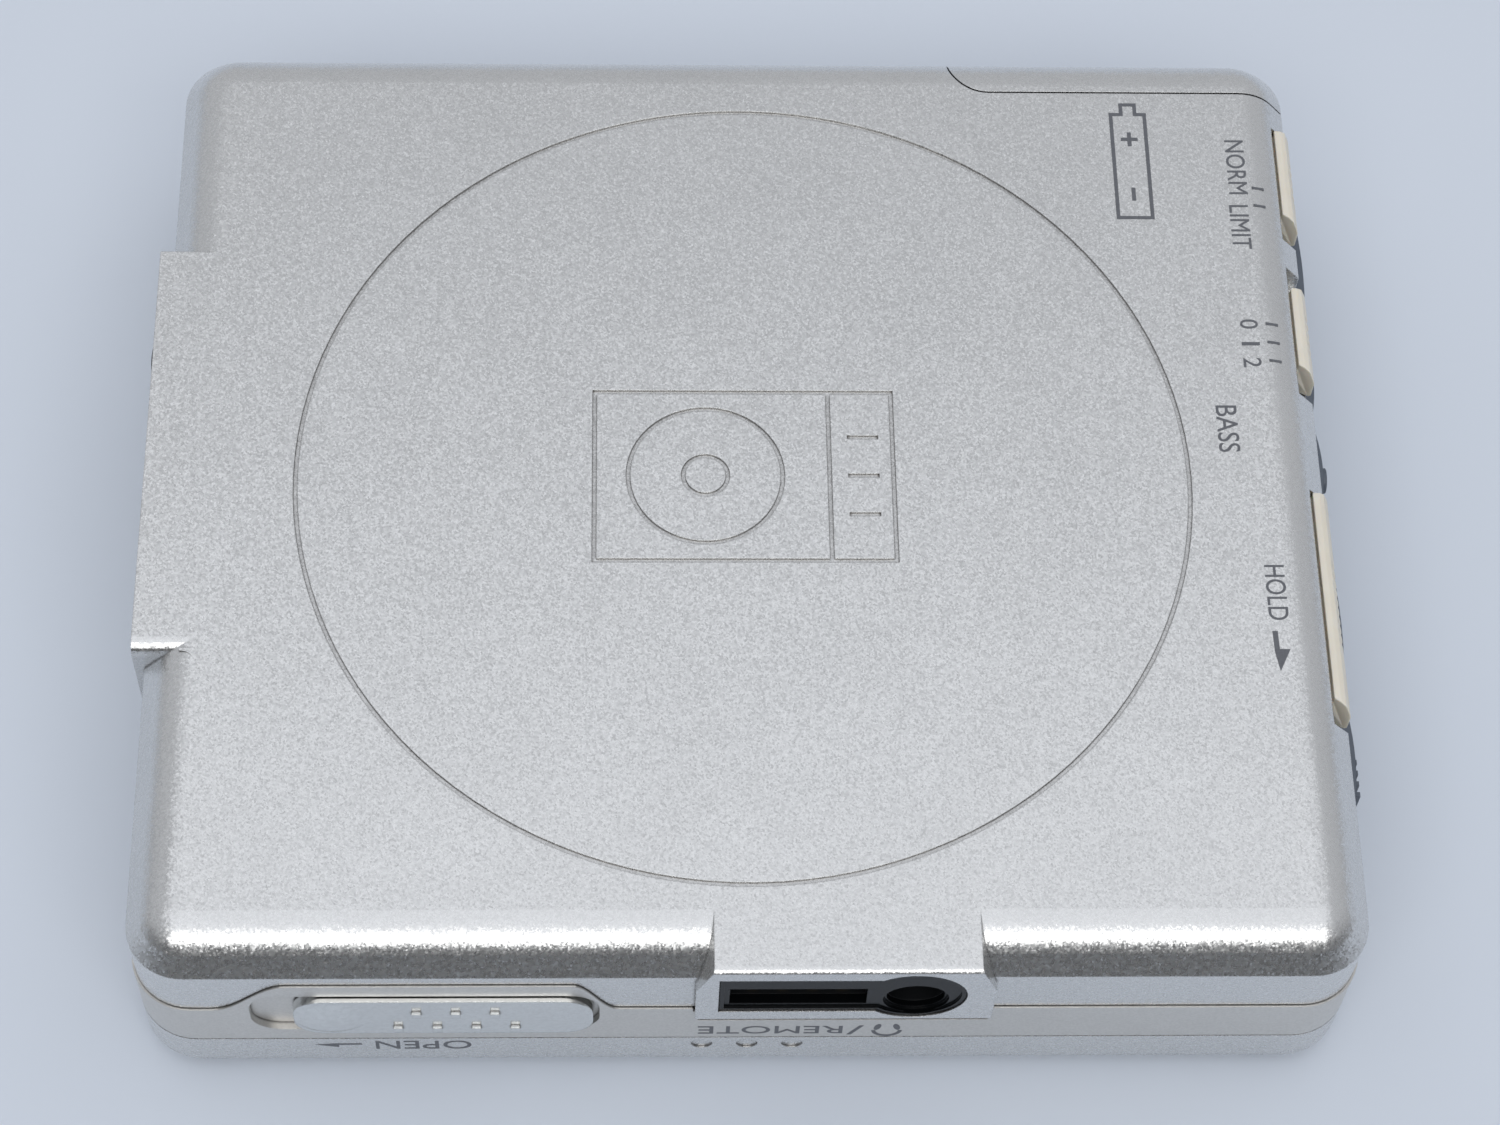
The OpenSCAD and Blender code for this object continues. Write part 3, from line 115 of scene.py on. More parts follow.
def buildStudio(look):
    world = bpy.data.worlds.new("studio")
    world.use_nodes = True
    tree = world.node_tree
    tree.nodes.clear()
    heading = addNode(tree, "ShaderNodeTexCoord")
    # the sky brightens along one leaning direction and stays dark low in front
    height = addNode(tree, "ShaderNodeVectorMath", {"operation": "DOT_PRODUCT", 1: look["lean"]},
                     {0: heading.outputs["Generated"]})
    amount = addNode(tree, "ShaderNodeMapRange", {"interpolation_type": "SMOOTHSTEP",
                     "From Min": look["low"], "From Max": look["high"]}, {"Value": height.outputs["Value"]})
    colour = addNode(tree, "ShaderNodeMix",
                     {"data_type": "RGBA", 6: linear(look["dark"]), 7: linear(look["bright"])},
                     {0: amount.outputs["Result"]})
    sky = addNode(tree, "ShaderNodeBackground", {"Strength": look["strength"]}, {"Color": colour.outputs[2]})
    addNode(tree, "ShaderNodeOutputWorld", {}, {"Surface": sky.outputs["Background"]})
    bpy.context.scene.world = world
    for name, place, aim, width, depth, watts, tint in look["lamps"]:
        lamp = bpy.data.lights.new(name, "AREA")
        lamp.shape, lamp.size, lamp.size_y, lamp.energy = "RECTANGLE", width, depth, watts
        lamp.color = linear(tint)[:3]
        holder = bpy.data.objects.new(name, lamp)
        bpy.context.scene.collection.objects.link(holder)
        holder.location = place
        holder.rotation_euler = (Vector(aim) - Vector(place)).to_track_quat("-Z", "Y").to_euler()
    half, low = look["floorSize"] / 2, -look["floorGap"] * mm
    mesh = bpy.data.meshes.new("floor")
    mesh.from_pydata([(-half, -half, low), (half, -half, low), (half, half, low), (-half, half, low)],
                     [], [(0, 1, 2, 3)])
    floor = bpy.data.objects.new("floor", mesh)
    bpy.context.scene.collection.objects.link(floor)
    paper = bpy.data.materials.new("paperFloor")
    paper.use_nodes = True
    shader = paper.node_tree.nodes["Principled BSDF"]
    shader.inputs["Base Color"].default_value = linear(look["floor"])
    shader.inputs["Roughness"].default_value = look["floorRough"]
    mesh.materials.append(paper)
    bpy.context.scene.view_settings.view_transform = "Standard"


buildStudio(studio)
print("studio built")


def startFinish(name):
    finish = bpy.data.materials.new(name)
    finish.use_nodes = True
    tree = finish.node_tree
    tree.nodes.clear()
    place = addNode(tree, "ShaderNodeTexCoord")
    # patterns are sized in millimetres
    inMm = addNode(tree, "ShaderNodeMapping", {"Scale": (1000, 1000, 1000)},
                   {"Vector": place.outputs["Object"]})
    return finish, tree, inMm.outputs["Vector"]


def endFinish(tree, values, links):
    shader = addNode(tree, "ShaderNodeBsdfPrincipled", values, links)
    addNode(tree, "ShaderNodeOutputMaterial", {}, {"Surface": shader.outputs["BSDF"]})


def flakePaint(name, look):
    # sprayed silver lacquer: flat metal flakes under a thin clear coat, each tilted its own way
    finish, tree, place = startFinish(name)
    flakes = addNode(tree, "ShaderNodeTexVoronoi", {"feature": "F1", "Scale": 1 / look["flake"]},
                     {"Vector": place})
    clumps = addNode(tree, "ShaderNodeTexNoise", {"Scale": 0.35 / look["flake"], "Detail": 2.0},
                     {"Vector": place})
    cloud = addNode(tree, "ShaderNodeTexNoise", {"Scale": 0.12, "Detail": 3.0}, {"Vector": place})
    # the flakes' own colours, centred on nought, serve as their small tilts
    centred = addNode(tree, "ShaderNodeVectorMath", {"operation": "SUBTRACT", 1: (0.5, 0.5, 0.5)},
                      {0: flakes.outputs["Color"]})
    tilt = addNode(tree, "ShaderNodeVectorMath", {"operation": "SCALE", "Scale": look["tilt"]},
                   {0: centred.outputs["Vector"]})
    edge = addNode(tree, "ShaderNodeBevel", {"samples": 4, "Radius": look["edge"] * mm})
    peel = addNode(tree, "ShaderNodeBump", {"Strength": 0.35, "Distance": look["peel"] * mm},
                   {"Height": clumps.outputs["Fac"], "Normal": edge.outputs["Normal"]})
    leaned = addNode(tree, "ShaderNodeVectorMath", {"operation": "ADD"},
                     {0: peel.outputs["Normal"], 1: tilt.outputs["Vector"]})
    normal = addNode(tree, "ShaderNodeVectorMath", {"operation": "NORMALIZE"}, {0: leaned.outputs["Vector"]})
    # three fifths of the tone varies from flake to flake, the rest in wide clouds
    grey = addNode(tree, "ShaderNodeSeparateColor", {}, {"Color": flakes.outputs["Color"]})
    fleck = addNode(tree, "ShaderNodeMath", {"operation": "MULTIPLY", 1: 0.6}, {0: grey.outputs["Red"]})
    blotch = addNode(tree, "ShaderNodeMath", {"operation": "MULTIPLY_ADD", 1: 0.4},
                     {0: cloud.outputs["Fac"], 2: fleck.outputs["Value"]})
    colour = addNode(tree, "ShaderNodeMix",
                     {"data_type": "RGBA", 6: linear(look["shade"]), 7: linear(look["colour"])},
                     {0: blotch.outputs["Value"]})
    # painted shade: the colour darkens towards a grey-brown wherever ambient occlusion finds grooves and
    # seams
    nook = addNode(tree, "ShaderNodeAmbientOcclusion", {"samples": 6, "Distance": look["nook"] * mm})
    unshadedAmount = addNode(tree, "ShaderNodeMapRange", {"From Min": 0.45, "From Max": 0.85},
                    {"Value": nook.outputs["AO"]})
    shadedColour = addNode(tree, "ShaderNodeMix", {"data_type": "RGBA", 6: linear(look["nookShade"])},
                     {0: unshadedAmount.outputs["Result"], 7: colour.outputs[2]})
    rough = addNode(tree, "ShaderNodeMapRange",
                    {"To Min": look["rough"] - 0.05, "To Max": look["rough"] + 0.06},
                    {"Value": clumps.outputs["Fac"]})
    endFinish(tree, {"Metallic": look["metal"], "Coat Weight": look["coat"], "Coat Roughness": 0.22},
              {"Base Color": shadedColour.outputs[2], "Roughness": rough.outputs["Result"],
               "Normal": normal.outputs["Vector"], "Coat Normal": edge.outputs["Normal"]})
    return finish


def mouldedPlastic(name, look):
    # moulded plastic or rubber: a spark-eroded grain that softens the light, faint flow clouds
    finish, tree, place = startFinish(name)
    grain = addNode(tree, "ShaderNodeTexNoise", {"Scale": 1 / look["grain"], "Detail": 3.0},
                    {"Vector": place})
    cloud = addNode(tree, "ShaderNodeTexNoise", {"Scale": 0.4, "Detail": 2.0}, {"Vector": place})
    edge = addNode(tree, "ShaderNodeBevel", {"samples": 4, "Radius": look.get("edge", 0.08) * mm})
    bump = addNode(tree, "ShaderNodeBump", {"Strength": 0.3, "Distance": look.get("depth", 0.01) * mm},
                   {"Height": grain.outputs["Fac"], "Normal": edge.outputs["Normal"]})
    colour = addNode(tree, "ShaderNodeMix",
                     {"data_type": "RGBA", 6: linear(look["shade"]), 7: linear(look["colour"])},
                     {0: cloud.outputs["Fac"]})
    rough = addNode(tree, "ShaderNodeMapRange",
                    {"To Min": look["rough"] - 0.06, "To Max": look["rough"] + 0.06},
                    {"Value": grain.outputs["Fac"]})
    values = {"Specular IOR Level": look.get("level", 0.5)}
    if look.get("depthGlow"):
        # light goes a little way into pale plastic
        values.update({"Subsurface Weight": look["depthGlow"], "Subsurface Radius": (1.0, 0.8, 0.5),
                       "Subsurface Scale": 0.6 * mm})
    endFinish(tree, values, {"Base Color": colour.outputs[2], "Roughness": rough.outputs["Result"],
                             "Normal": bump.outputs["Normal"]})
    return finish


def workedMetal(name, look):
    # rolled, ground or cast metal: stretched noise gives the rolling or grinding lines
    finish, tree, place = startFinish(name)
    lay = addNode(tree, "ShaderNodeMapping", {"Scale": look["lay"]}, {"Vector": place})
    lines = addNode(tree, "ShaderNodeTexNoise", {"Scale": 1 / look["grain"], "Detail": 4.0},
                    {"Vector": lay.outputs["Vector"]})
    stain = addNode(tree, "ShaderNodeTexNoise", {"Scale": 0.3, "Detail": 3.0}, {"Vector": place})
    edge = addNode(tree, "ShaderNodeBevel", {"samples": 4, "Radius": 0.05 * mm})
    bump = addNode(tree, "ShaderNodeBump", {"Strength": 0.25, "Distance": look["depth"] * mm},
                   {"Height": lines.outputs["Fac"], "Normal": edge.outputs["Normal"]})
    colour = addNode(tree, "ShaderNodeMix",
                     {"data_type": "RGBA", 6: linear(look["shade"]), 7: linear(look["colour"])},
                     {0: stain.outputs["Fac"]})
    rough = addNode(tree, "ShaderNodeMapRange",
                    {"To Min": look["rough"] - 0.07, "To Max": look["rough"] + 0.08},
                    {"Value": lines.outputs["Fac"]})
    endFinish(tree, {"Metallic": 1.0},
              {"Base Color": colour.outputs[2], "Roughness": rough.outputs["Result"],
               "Normal": bump.outputs["Normal"]})
    return finish


def boardFinish(name, look):
    # glass-epoxy board under solder mask, the copper runs show through it as raised lighter lines
    finish, tree, place = startFinish(name)
    runs = addNode(tree, "ShaderNodeTexBrick",
                   {"offset": 0.35, "Scale": 1.0, "Mortar Size": 0.09, "Mortar Smooth": 0.1,
                    "Brick Width": look["runLength"], "Row Height": look["runPitch"],
                    "Color1": (0, 0, 0, 1), "Color2": (0.3, 0.3, 0.3, 1), "Mortar": (1, 1, 1, 1)},
                   {"Vector": place})
    weave = addNode(tree, "ShaderNodeTexNoise", {"Scale": 4.0, "Detail": 2.0}, {"Vector": place})
    colour = addNode(tree, "ShaderNodeMix",
                     {"data_type": "RGBA", 6: linear(look["mask"]), 7: linear(look["copper"])},
                     {0: runs.outputs["Color"]})
    bump = addNode(tree, "ShaderNodeBump", {"Strength": 0.3, "Distance": 0.02 * mm},
                   {"Height": runs.outputs["Color"]})
    rough = addNode(tree, "ShaderNodeMapRange", {"To Min": 0.25, "To Max": 0.4},
                    {"Value": weave.outputs["Fac"]})
    endFinish(tree, {"Coat Weight": 0.3},
              {"Base Color": colour.outputs[2], "Roughness": rough.outputs["Result"],
               "Normal": bump.outputs["Normal"]})
    return finish


def filmFinish(name, look):
    # glossy polyimide film over copper runs, half a millimetre apart across the cable
    finish, tree, place = startFinish(name)
    runs = addNode(tree, "ShaderNodeTexWave",
                   {"wave_type": "BANDS", "bands_direction": "Y", "Scale": look["runScale"],
                    "Distortion": 0.0}, {"Vector": place})
    sharp = addNode(tree, "ShaderNodeMapRange", {"From Min": 0.45, "From Max": 0.6},
                    {"Value": runs.outputs["Fac"]})
    cloud = addNode(tree, "ShaderNodeTexNoise", {"Scale": 1.5}, {"Vector": place})
    colour = addNode(tree, "ShaderNodeMix",
                     {"data_type": "RGBA", 6: linear(look["film"]), 7: linear(look["copper"])},
                     {0: sharp.outputs["Result"]})
    bump = addNode(tree, "ShaderNodeBump", {"Strength": 0.3, "Distance": 0.02 * mm},
                   {"Height": sharp.outputs["Result"]})
    rough = addNode(tree, "ShaderNodeMapRange", {"To Min": 0.18, "To Max": 0.32},
                    {"Value": cloud.outputs["Fac"]})
    endFinish(tree, {"Metallic": 0.2, "Coat Weight": 0.6, "Coat Roughness": 0.1},
              {"Base Color": colour.outputs[2], "Roughness": rough.outputs["Result"],
               "Normal": bump.outputs["Normal"]})
    return finish


def sleeveFinish(name, look):
    # shrink film round the cell, with the bare can showing beyond the split at the contact end
    finish, tree, place = startFinish(name)
    parts = addNode(tree, "ShaderNodeSeparateXYZ", {}, {"Vector": place})
    band = addNode(tree, "ShaderNodeMapRange", {"From Min": look["split"], "From Max": look["split"] + 0.1},
                   {"Value": parts.outputs["Y"]})
    wrinkle = addNode(tree, "ShaderNodeTexNoise", {"Scale": 0.8, "Detail": 2.0}, {"Vector": place})
    colour = addNode(tree, "ShaderNodeMix",
                     {"data_type": "RGBA", 6: linear(look["body"]), 7: linear(look["end"])},
                     {0: band.outputs["Result"]})
    bump = addNode(tree, "ShaderNodeBump", {"Strength": 0.2, "Distance": 0.05 * mm},
                   {"Height": wrinkle.outputs["Fac"]})
    rough = addNode(tree, "ShaderNodeMapRange", {"To Min": 0.25, "To Max": 0.4},
                    {"Value": wrinkle.outputs["Fac"]})
    endFinish(tree, {"Metallic": 0.3, "Coat Weight": 0.5, "Coat Roughness": 0.12},
              {"Base Color": colour.outputs[2], "Roughness": rough.outputs["Result"],
               "Normal": bump.outputs["Normal"]})
    return finish


def lensFinish(name, look):
    # clear moulded lens that the anti-reflection coating turns violet-blue
    finish, tree, place = startFinish(name)
    haze = addNode(tree, "ShaderNodeTexNoise", {"Scale": 2.0}, {"Vector": place})
    colour = addNode(tree, "ShaderNodeMix",
                     {"data_type": "RGBA", 6: linear(look["tint"]), 7: linear(look["edge"])},
                     {0: haze.outputs["Fac"]})
    endFinish(tree, {"Roughness": 0.03, "IOR": 1.52, "Transmission Weight": 0.85, "Coat Weight": 0.4,
                     "Coat Tint": linear(look["edge"])}, {"Base Color": colour.outputs[2]})
    return finish


# one finish for each material slot; flakes, grains, edges and depths are in millimetres
# in the three flake paints, the grey-brown #6b6763 is painted shade that grooves and seams darken towards
finishLooks = {
    # sprayed metallic lacquer on the shell: calm silver that sparkles in its dark reflections
    # (real flakes are finer, and are drawn this coarse to show at all)
    "shell_paint": (flakePaint, "silverLacquer", {
        "colour": "#e0e0df", "shade": "#cccccb", "flake": 0.11, "tilt": 0.14, "edge": 0.09, "peel": 0.02,
        "rough": 0.27, "metal": 0.92, "coat": 0.18, "nookShade": "#6b6763", "nook": 0.25}),
    # the middle band is painted finer and duller, so it stays an even warm grey
    "frame_paint": (flakePaint, "silverBandPaint", {
        "colour": "#d9d7d3", "shade": "#cbc9c5", "flake": 0.12, "tilt": 0.07, "edge": 0.10, "peel": 0.02,
        "rough": 0.40, "metal": 0.85, "coat": 0.12, "nookShade": "#6b6763", "nook": 0.25}),
    # plated plastic: smooth and bright, it mirrors the light boxes
    "bright_trim": (flakePaint, "brightPlatedPlastic", {
        "colour": "#e2e3e1", "shade": "#cfd0cf", "flake": 0.20, "tilt": 0.0, "edge": 0.14, "peel": 0.01,
        "rough": 0.17, "metal": 1.0, "coat": 0.3, "nookShade": "#6b6763", "nook": 0.25}),
    # pressed steel sheet: fine rolling lines along Y
    "bright_steel": (workedMetal, "rolledSteelSheet", {
        "colour": "#c9c8c5", "shade": "#a9a8a6", "lay": (1, 0.03, 1), "grain": 0.12, "depth": 0.012,
        "rough": 0.30}),
    # ground pins and shafts: narrow highlights
    "pin_steel": (workedMetal, "groundSteelPin", {
        "colour": "#d6d6d6", "shade": "#bcbcbd", "lay": (1, 0.1, 0.1), "grain": 0.08, "depth": 0.006,
        "rough": 0.16}),
    # chemically blackened steel: dark, with a soft sheen
    "dark_screw": (workedMetal, "blackenedSteel", {
        "colour": "#4a4a4d", "shade": "#2e2e31", "lay": (1, 1, 1), "grain": 0.1, "depth": 0.01,
        "rough": 0.36}),
    # polished mould: nearly pure black, little gloss
    "black_gloss": (mouldedPlastic, "glossBlackAbs", {
        "colour": "#0b0d0f", "shade": "#050607", "grain": 0.5, "depth": 0.002, "rough": 0.22,
        "level": 0.18}),
    # eroded mould: flat black that hides the inside of the sockets
    "black_matte": (mouldedPlastic, "mattBlackAbs", {
        "colour": "#141618", "shade": "#0c0d0f", "grain": 0.12, "rough": 0.5, "level": 0.25}),
    # acetal that has yellowed: warm, light goes into its edges
    "ivory_plastic": (mouldedPlastic, "agedIvoryAcetal", {
        "colour": "#e9e3d6", "shade": "#ddd5c4", "grain": 0.15, "depth": 0.006, "rough": 0.42,
        "depthGlow": 0.25, "edge": 0.1}),
    # coloured through: dull blue-grey keys
    "slate_plastic": (mouldedPlastic, "slateAbs", {
        "colour": "#626a75", "shade": "#545b66", "grain": 0.13, "rough": 0.46}),
    # pressed resin board: dull brown
    "brown_plastic": (mouldedPlastic, "brownPhenolic", {
        "colour": "#5b3b22", "shade": "#41280f", "grain": 0.1, "rough": 0.5}),
    # unfilled acetal: waxy white gears and clips
    "white_plastic": (mouldedPlastic, "whiteAcetal", {
        "colour": "#ecebe6", "shade": "#dcdad2", "grain": 0.15, "depth": 0.005, "rough": 0.38,
        "depthGlow": 0.2}),
    # gold flash on sprung strip: warm glints along the rolling lines
    "gold_contact": (workedMetal, "goldPlatedSpring", {
        "colour": "#e8c46a", "shade": "#cfa550", "lay": (1, 0.1, 1), "grain": 0.1, "depth": 0.006,
        "rough": 0.22}),
    # deep green with lighter runs
    "circuit_board": (boardFinish, "greenSolderMask", {
        "mask": "#0d4a2c", "copper": "#3f8a4e", "runLength": 2.6, "runPitch": 0.55}),
    # orange-brown and shiny, striped by its runs
    "cable_film": (filmFinish, "amberFilm", {"film": "#b5641c", "copper": "#d98f3d", "runScale": 0.628}),
    # black rubber: no highlight to speak of
    "soft_rubber": (mouldedPlastic, "blackRubber", {
        "colour": "#1c1c1e", "shade": "#131315", "grain": 0.2, "depth": 0.02, "rough": 0.7}),
    # navy film that ends in a bare grey can
    "cell_sleeve": (sleeveFinish, "cellShrinkSleeve", {"body": "#24445f", "end": "#c8cacc", "split": 24.0}),
    # cast zinc: grey with an uneven skin
    "cast_sled": (workedMetal, "dieCastZinc", {
        "colour": "#b4b4b5", "shade": "#8f8f92", "lay": (1, 1, 1), "grain": 0.35, "depth": 0.03,
        "rough": 0.44}),
    # coated moulded lens: clear, with a violet glint
    "lens_glass": (lensFinish, "coatedLens", {"tint": "#b9c6ff", "edge": "#5a4fd0"}),
}
# nodes that differ from the rest of their slot
nodeLooks = {
    # thin damping film: dead matt dark grey
    "lid_liner": (mouldedPlastic, "mattGreyFilm", {
        "colour": "#3a3b3e", "shade": "#323336", "grain": 0.3, "depth": 0.02, "rough": 0.8}),
    # filled epoxy: charcoal, finely pitted
    "board_chips": (mouldedPlastic, "chipEpoxy", {
        "colour": "#222225", "shade": "#1a1a1c", "grain": 0.07, "depth": 0.01, "rough": 0.62}),
    # the side plug is a lighter, greyer rubber
    "terminal_plug": (mouldedPlastic, "greyRubberPlug", {
        "colour": "#3b3d41", "shade": "#2d2f33", "grain": 0.2, "depth": 0.02, "rough": 0.66}),
}


def coatNodes():
    made = {slot: make(name, look) for slot, (make, name, look) in finishLooks.items()}
    special = {node: make(name, look) for node, (make, name, look) in nodeLooks.items()}
    for name, part in nodes.items():
        slot = part.data.materials[0].name
        part.data.materials[0] = special.get(name) or made[slot]
    return made


finishes = coatNodes()
print("finishes on", len(nodes), "nodes")


def inkFinish(name, look):
    # pad-printed ink, slightly uneven where it lies on the flakes
    finish, tree, place = startFinish(name)
    thin = addNode(tree, "ShaderNodeTexNoise", {"Scale": 6.0, "Detail": 2.0}, {"Vector": place})
    colour = addNode(tree, "ShaderNodeMix",
                     {"data_type": "RGBA", 6: linear(look["ink"]), 7: linear(look["thin"])},
                     {0: thin.outputs["Fac"]})
    endFinish(tree, {"Roughness": 0.5}, {"Base Color": colour.outputs[2]})
    return finish


# places are millimetres along and across the reading direction
printLook = {
    "ink": "#54565b", "thin": "#6c6e73", "proud": 0.015, "sunk": 0.03, "merge": 1e-7,
    "words": [
        # name, letters, body, side, along from, along to, across low, across high
        ("normWord", "NORM", "player", "top", 27.8, 23.15, 34.6, 35.95),
        ("limitWord", "LIMIT", "player", "top", 22.2, 18.5, 34.5, 35.83),
        ("bassWord", "BASS", "player", "top", 5.6, 1.9, 32.2, 33.65),
        ("digitZero", "0", "player", "top", 12.6, 11.85, 34.45, 35.7),
        ("digitOne", "1", "player", "top", 10.74, 10.48, 34.45, 35.7),
        ("digitTwo", "2", "player", "top", 9.45, 8.7, 34.45, 35.7),
        ("holdWord", "HOLD", "player", "top", -6.87, -11.02, 34.46, 35.8),
        ("openWord", "OPEN", "lid", "front", -17.98, -24.2, 4.72, 3.37),
        ("remoteWord", "REMOTE", "player", "front", 6.15, -3.25, 7.05, 5.8),
        ("remoteSlash", "/", "player", "front", 7.5, 6.45, 7.1, 5.6),
    ],
}
ink = inkFinish("greyPadInk", printLook)


def addPiece(name, mesh, body, finish):
    piece = bpy.data.objects.new(name, mesh)
    bpy.context.scene.collection.objects.link(piece)
    mesh.materials.clear()
    mesh.materials.append(finish)
    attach(piece, body)
    return piece


def closeMesh(work, mesh):
    # faces point outwards, and the working copy goes
    bmesh.ops.recalc_face_normals(work, faces=work.faces)
    work.to_mesh(mesh)
    work.free()
    return mesh


def onTop(along, across, high):
    # reading direction runs to the front, letters stand towards the right edge
    return Vector((across * mm, along * mm, topZ + high * mm))


def onFront(along, across, high):
    # upside-down on the front, reading direction runs to the left
    return Vector((along * mm, bandY - high * mm, across * mm))


sides = {"top": onTop, "front": onFront}


def printWord(name, letters, body, side, start, end, low, high):
    # any depth will do: its two faces go to the ink's top and foot
    curve = bpy.data.curves.new(name, "FONT")
    curve.body, curve.extrude, curve.resolution_u = letters, 0.1, 5
    maker = bpy.data.objects.new(name + "Maker", curve)
    bpy.context.scene.collection.objects.link(maker)
    bpy.context.view_layer.update()
    mesh = bpy.data.meshes.new_from_object(maker.evaluated_get(bpy.context.evaluated_depsgraph_get()))
    bpy.data.objects.remove(maker)
    xs, ys = [v.co.x for v in mesh.vertices], [v.co.y for v in mesh.vertices]
    for v in mesh.vertices:
        along = start + (end - start) * (v.co.x - min(xs)) / (max(xs) - min(xs))
        across = low + (high - low) * (v.co.y - min(ys)) / (max(ys) - min(ys))
        v.co = sides[side](along, across, printLook["proud"] if v.co.z > 0 else -printLook["sunk"])
    work = bmesh.new()
    work.from_mesh(mesh)
    bmesh.ops.remove_doubles(work, verts=work.verts, dist=printLook["merge"])
    addPiece(name, closeMesh(work, mesh), body, ink)


def printShape(name, body, side, outlines):
    # each outline is a list of (along, across) points
    work = bmesh.new()
    for outline in outlines:
        low = [work.verts.new(sides[side](a, c, -printLook["sunk"])) for a, c in outline]
        high = [work.verts.new(sides[side](a, c, printLook["proud"])) for a, c in outline]
        work.faces.new(low)
        work.faces.new(high)
        for i in range(len(outline)):
            k = (i + 1) % len(outline)
            work.faces.new((low[i], low[k], high[k], high[i]))
    addPiece(name, closeMesh(work, bpy.data.meshes.new(name)), body, ink)


def bar(a0, a1, c0, c1):
    return [(a0, c0), (a1, c0), (a1, c1), (a0, c1)]


# the nub is its two sides and its height; the signs stand on the middle line
batteryMark = {"along": (20.97, 30.15), "across": (26.5, 29.17), "line": 0.26, "nub": (27.25, 28.5, 0.85),
               "sign": 0.14, "arm": 0.6, "plus": (27.25, 28.45), "upright": (27.71, 27.99),
               "minus": (22.55, 23.65)}


def printBattery(look):
    (a0, a1), (c0, c1), w = look["along"], look["across"], look["line"]
    n0, n1, nh = look["nub"]
    mid = (c0 + c1) / 2
    printShape("batteryMark", "player", "top", [
        bar(a0, a0 + w, c0, c1), bar(a1 - w, a1, c0, n0 + w), bar(a1 - w, a1, n1 - w, c1),
        bar(a0 + w, a1 - w, c0, c0 + w), bar(a0 + w, a1 - w, c1 - w, c1),
        bar(a1, a1 + nh, n0, n0 + w), bar(a1, a1 + nh, n1 - w, n1), bar(a1 + nh - w, a1 + nh, n0 + w, n1 - w),
    ])
    half, arm = look["sign"], look["arm"]
    printShape("polarityMarks", "player", "top", [
        bar(*look["plus"], mid - half, mid + half),
        bar(*look["upright"], mid - arm, mid - half), bar(*look["upright"], mid + half, mid + arm),
        bar(*look["minus"], mid - half, mid + half),
    ])


# a pad is its distance out and up, its half width and half length, and it leans by a few degrees
headsetMark = {"centre": (9.03, 6.3), "outer": 1.0, "inner": 0.74, "steps": 16,
               "pad": (0.62, 0.55, 0.21, 0.5), "lean": 14.0}


def printHeadset(look):
    # upside-down on the front: the band hangs below, the two ear pads stand up
    (x, z), n = look["centre"], look["steps"]
    arc = [math.pi + math.pi * i / n for i in range(n + 1)]
    band = [(x + look["outer"] * math.cos(t), z + look["outer"] * math.sin(t)) for t in arc]
    band += [(x + look["inner"] * math.cos(t), z + look["inner"] * math.sin(t)) for t in reversed(arc)]
    out, up, halfWide, halfLong = look["pad"]
    outlines = [band]
    for side in (-1, 1):
        tilt = math.radians(look["lean"]) * -side
        pad = []
        for i in range(n):
            t = 2 * math.pi * i / n
            a, b = halfWide * math.cos(t), halfLong * math.sin(t)
            pad.append((x + side * out + a * math.cos(tilt) + b * math.sin(tilt),
                        z + up - a * math.sin(tilt) + b * math.cos(tilt)))
        outlines.append(pad)
    printShape("headsetMark", "player", "front", outlines)


# half arrows: the barb is on the side the letters stand towards
arrowMarks = {
    "holdArrow": ("player", "top", [(-11.85, 34.6), (-11.85, 34.95), (-13.2, 34.98), (-13.2, 35.68),
                                    (-14.82, 34.9), (-13.4, 34.64)]),
    "openArrow": ("lid", "front", [(-25.1, 4.32), (-25.1, 4.12), (-26.6, 4.1), (-26.6, 3.72),
                                   (-28.1, 4.14), (-26.8, 4.3)]),
}


for word in printLook["words"]:
    printWord(*word)
printBattery(batteryMark)
printHeadset(headsetMark)
for name, (body, side, outline) in arrowMarks.items():
    printShape(name, body, side, [outline])
print("printed marks done")


def nodeTree(name, sizes):
    tree = bpy.data.node_groups.new(name, "GeometryNodeTree")
    tree.interface.new_socket("Geometry", in_out="OUTPUT", socket_type="NodeSocketGeometry")
    for label, value in sizes.items():
        kind = "NodeSocketInt" if isinstance(value, int) else "NodeSocketFloat"
        tree.interface.new_socket(label, in_out="INPUT", socket_type=kind)
    return tree, tree.nodes.new("NodeGroupInput")


def growPiece(name, tree, sizes, body, finish):
    # the modifier's result becomes a plain mesh, and the modifier goes
    holder = bpy.data.objects.new(name + "Maker", bpy.data.meshes.new(name + "Maker"))
    bpy.context.scene.collection.objects.link(holder)
    modifier = holder.modifiers.new("grow", "NODES")
    modifier.node_group = tree
    for item in tree.interface.items_tree:
        if item.in_out == "INPUT":
            modifier[item.identifier] = sizes[item.name]
    bpy.context.view_layer.update()
    mesh = bpy.data.meshes.new_from_object(holder.evaluated_get(bpy.context.evaluated_depsgraph_get()))
    holder.modifiers.clear()
    bpy.data.objects.remove(holder)
    mesh.name = name
    return addPiece(name, mesh, body, finish)


# the ticks lie on the start of the rounded edge, so they tilt with it
scaleTicks = {
    "Width": 0.19 * mm, "Length": 0.9 * mm, "Height": 0.08 * mm, "Step": 1.5 * mm, "Count": 3,
    "Centre X": 36.69 * mm, "First Y": 9.28 * mm, "Centre Z": topZ - 0.138 * mm, "Tilt": 0.26,
}


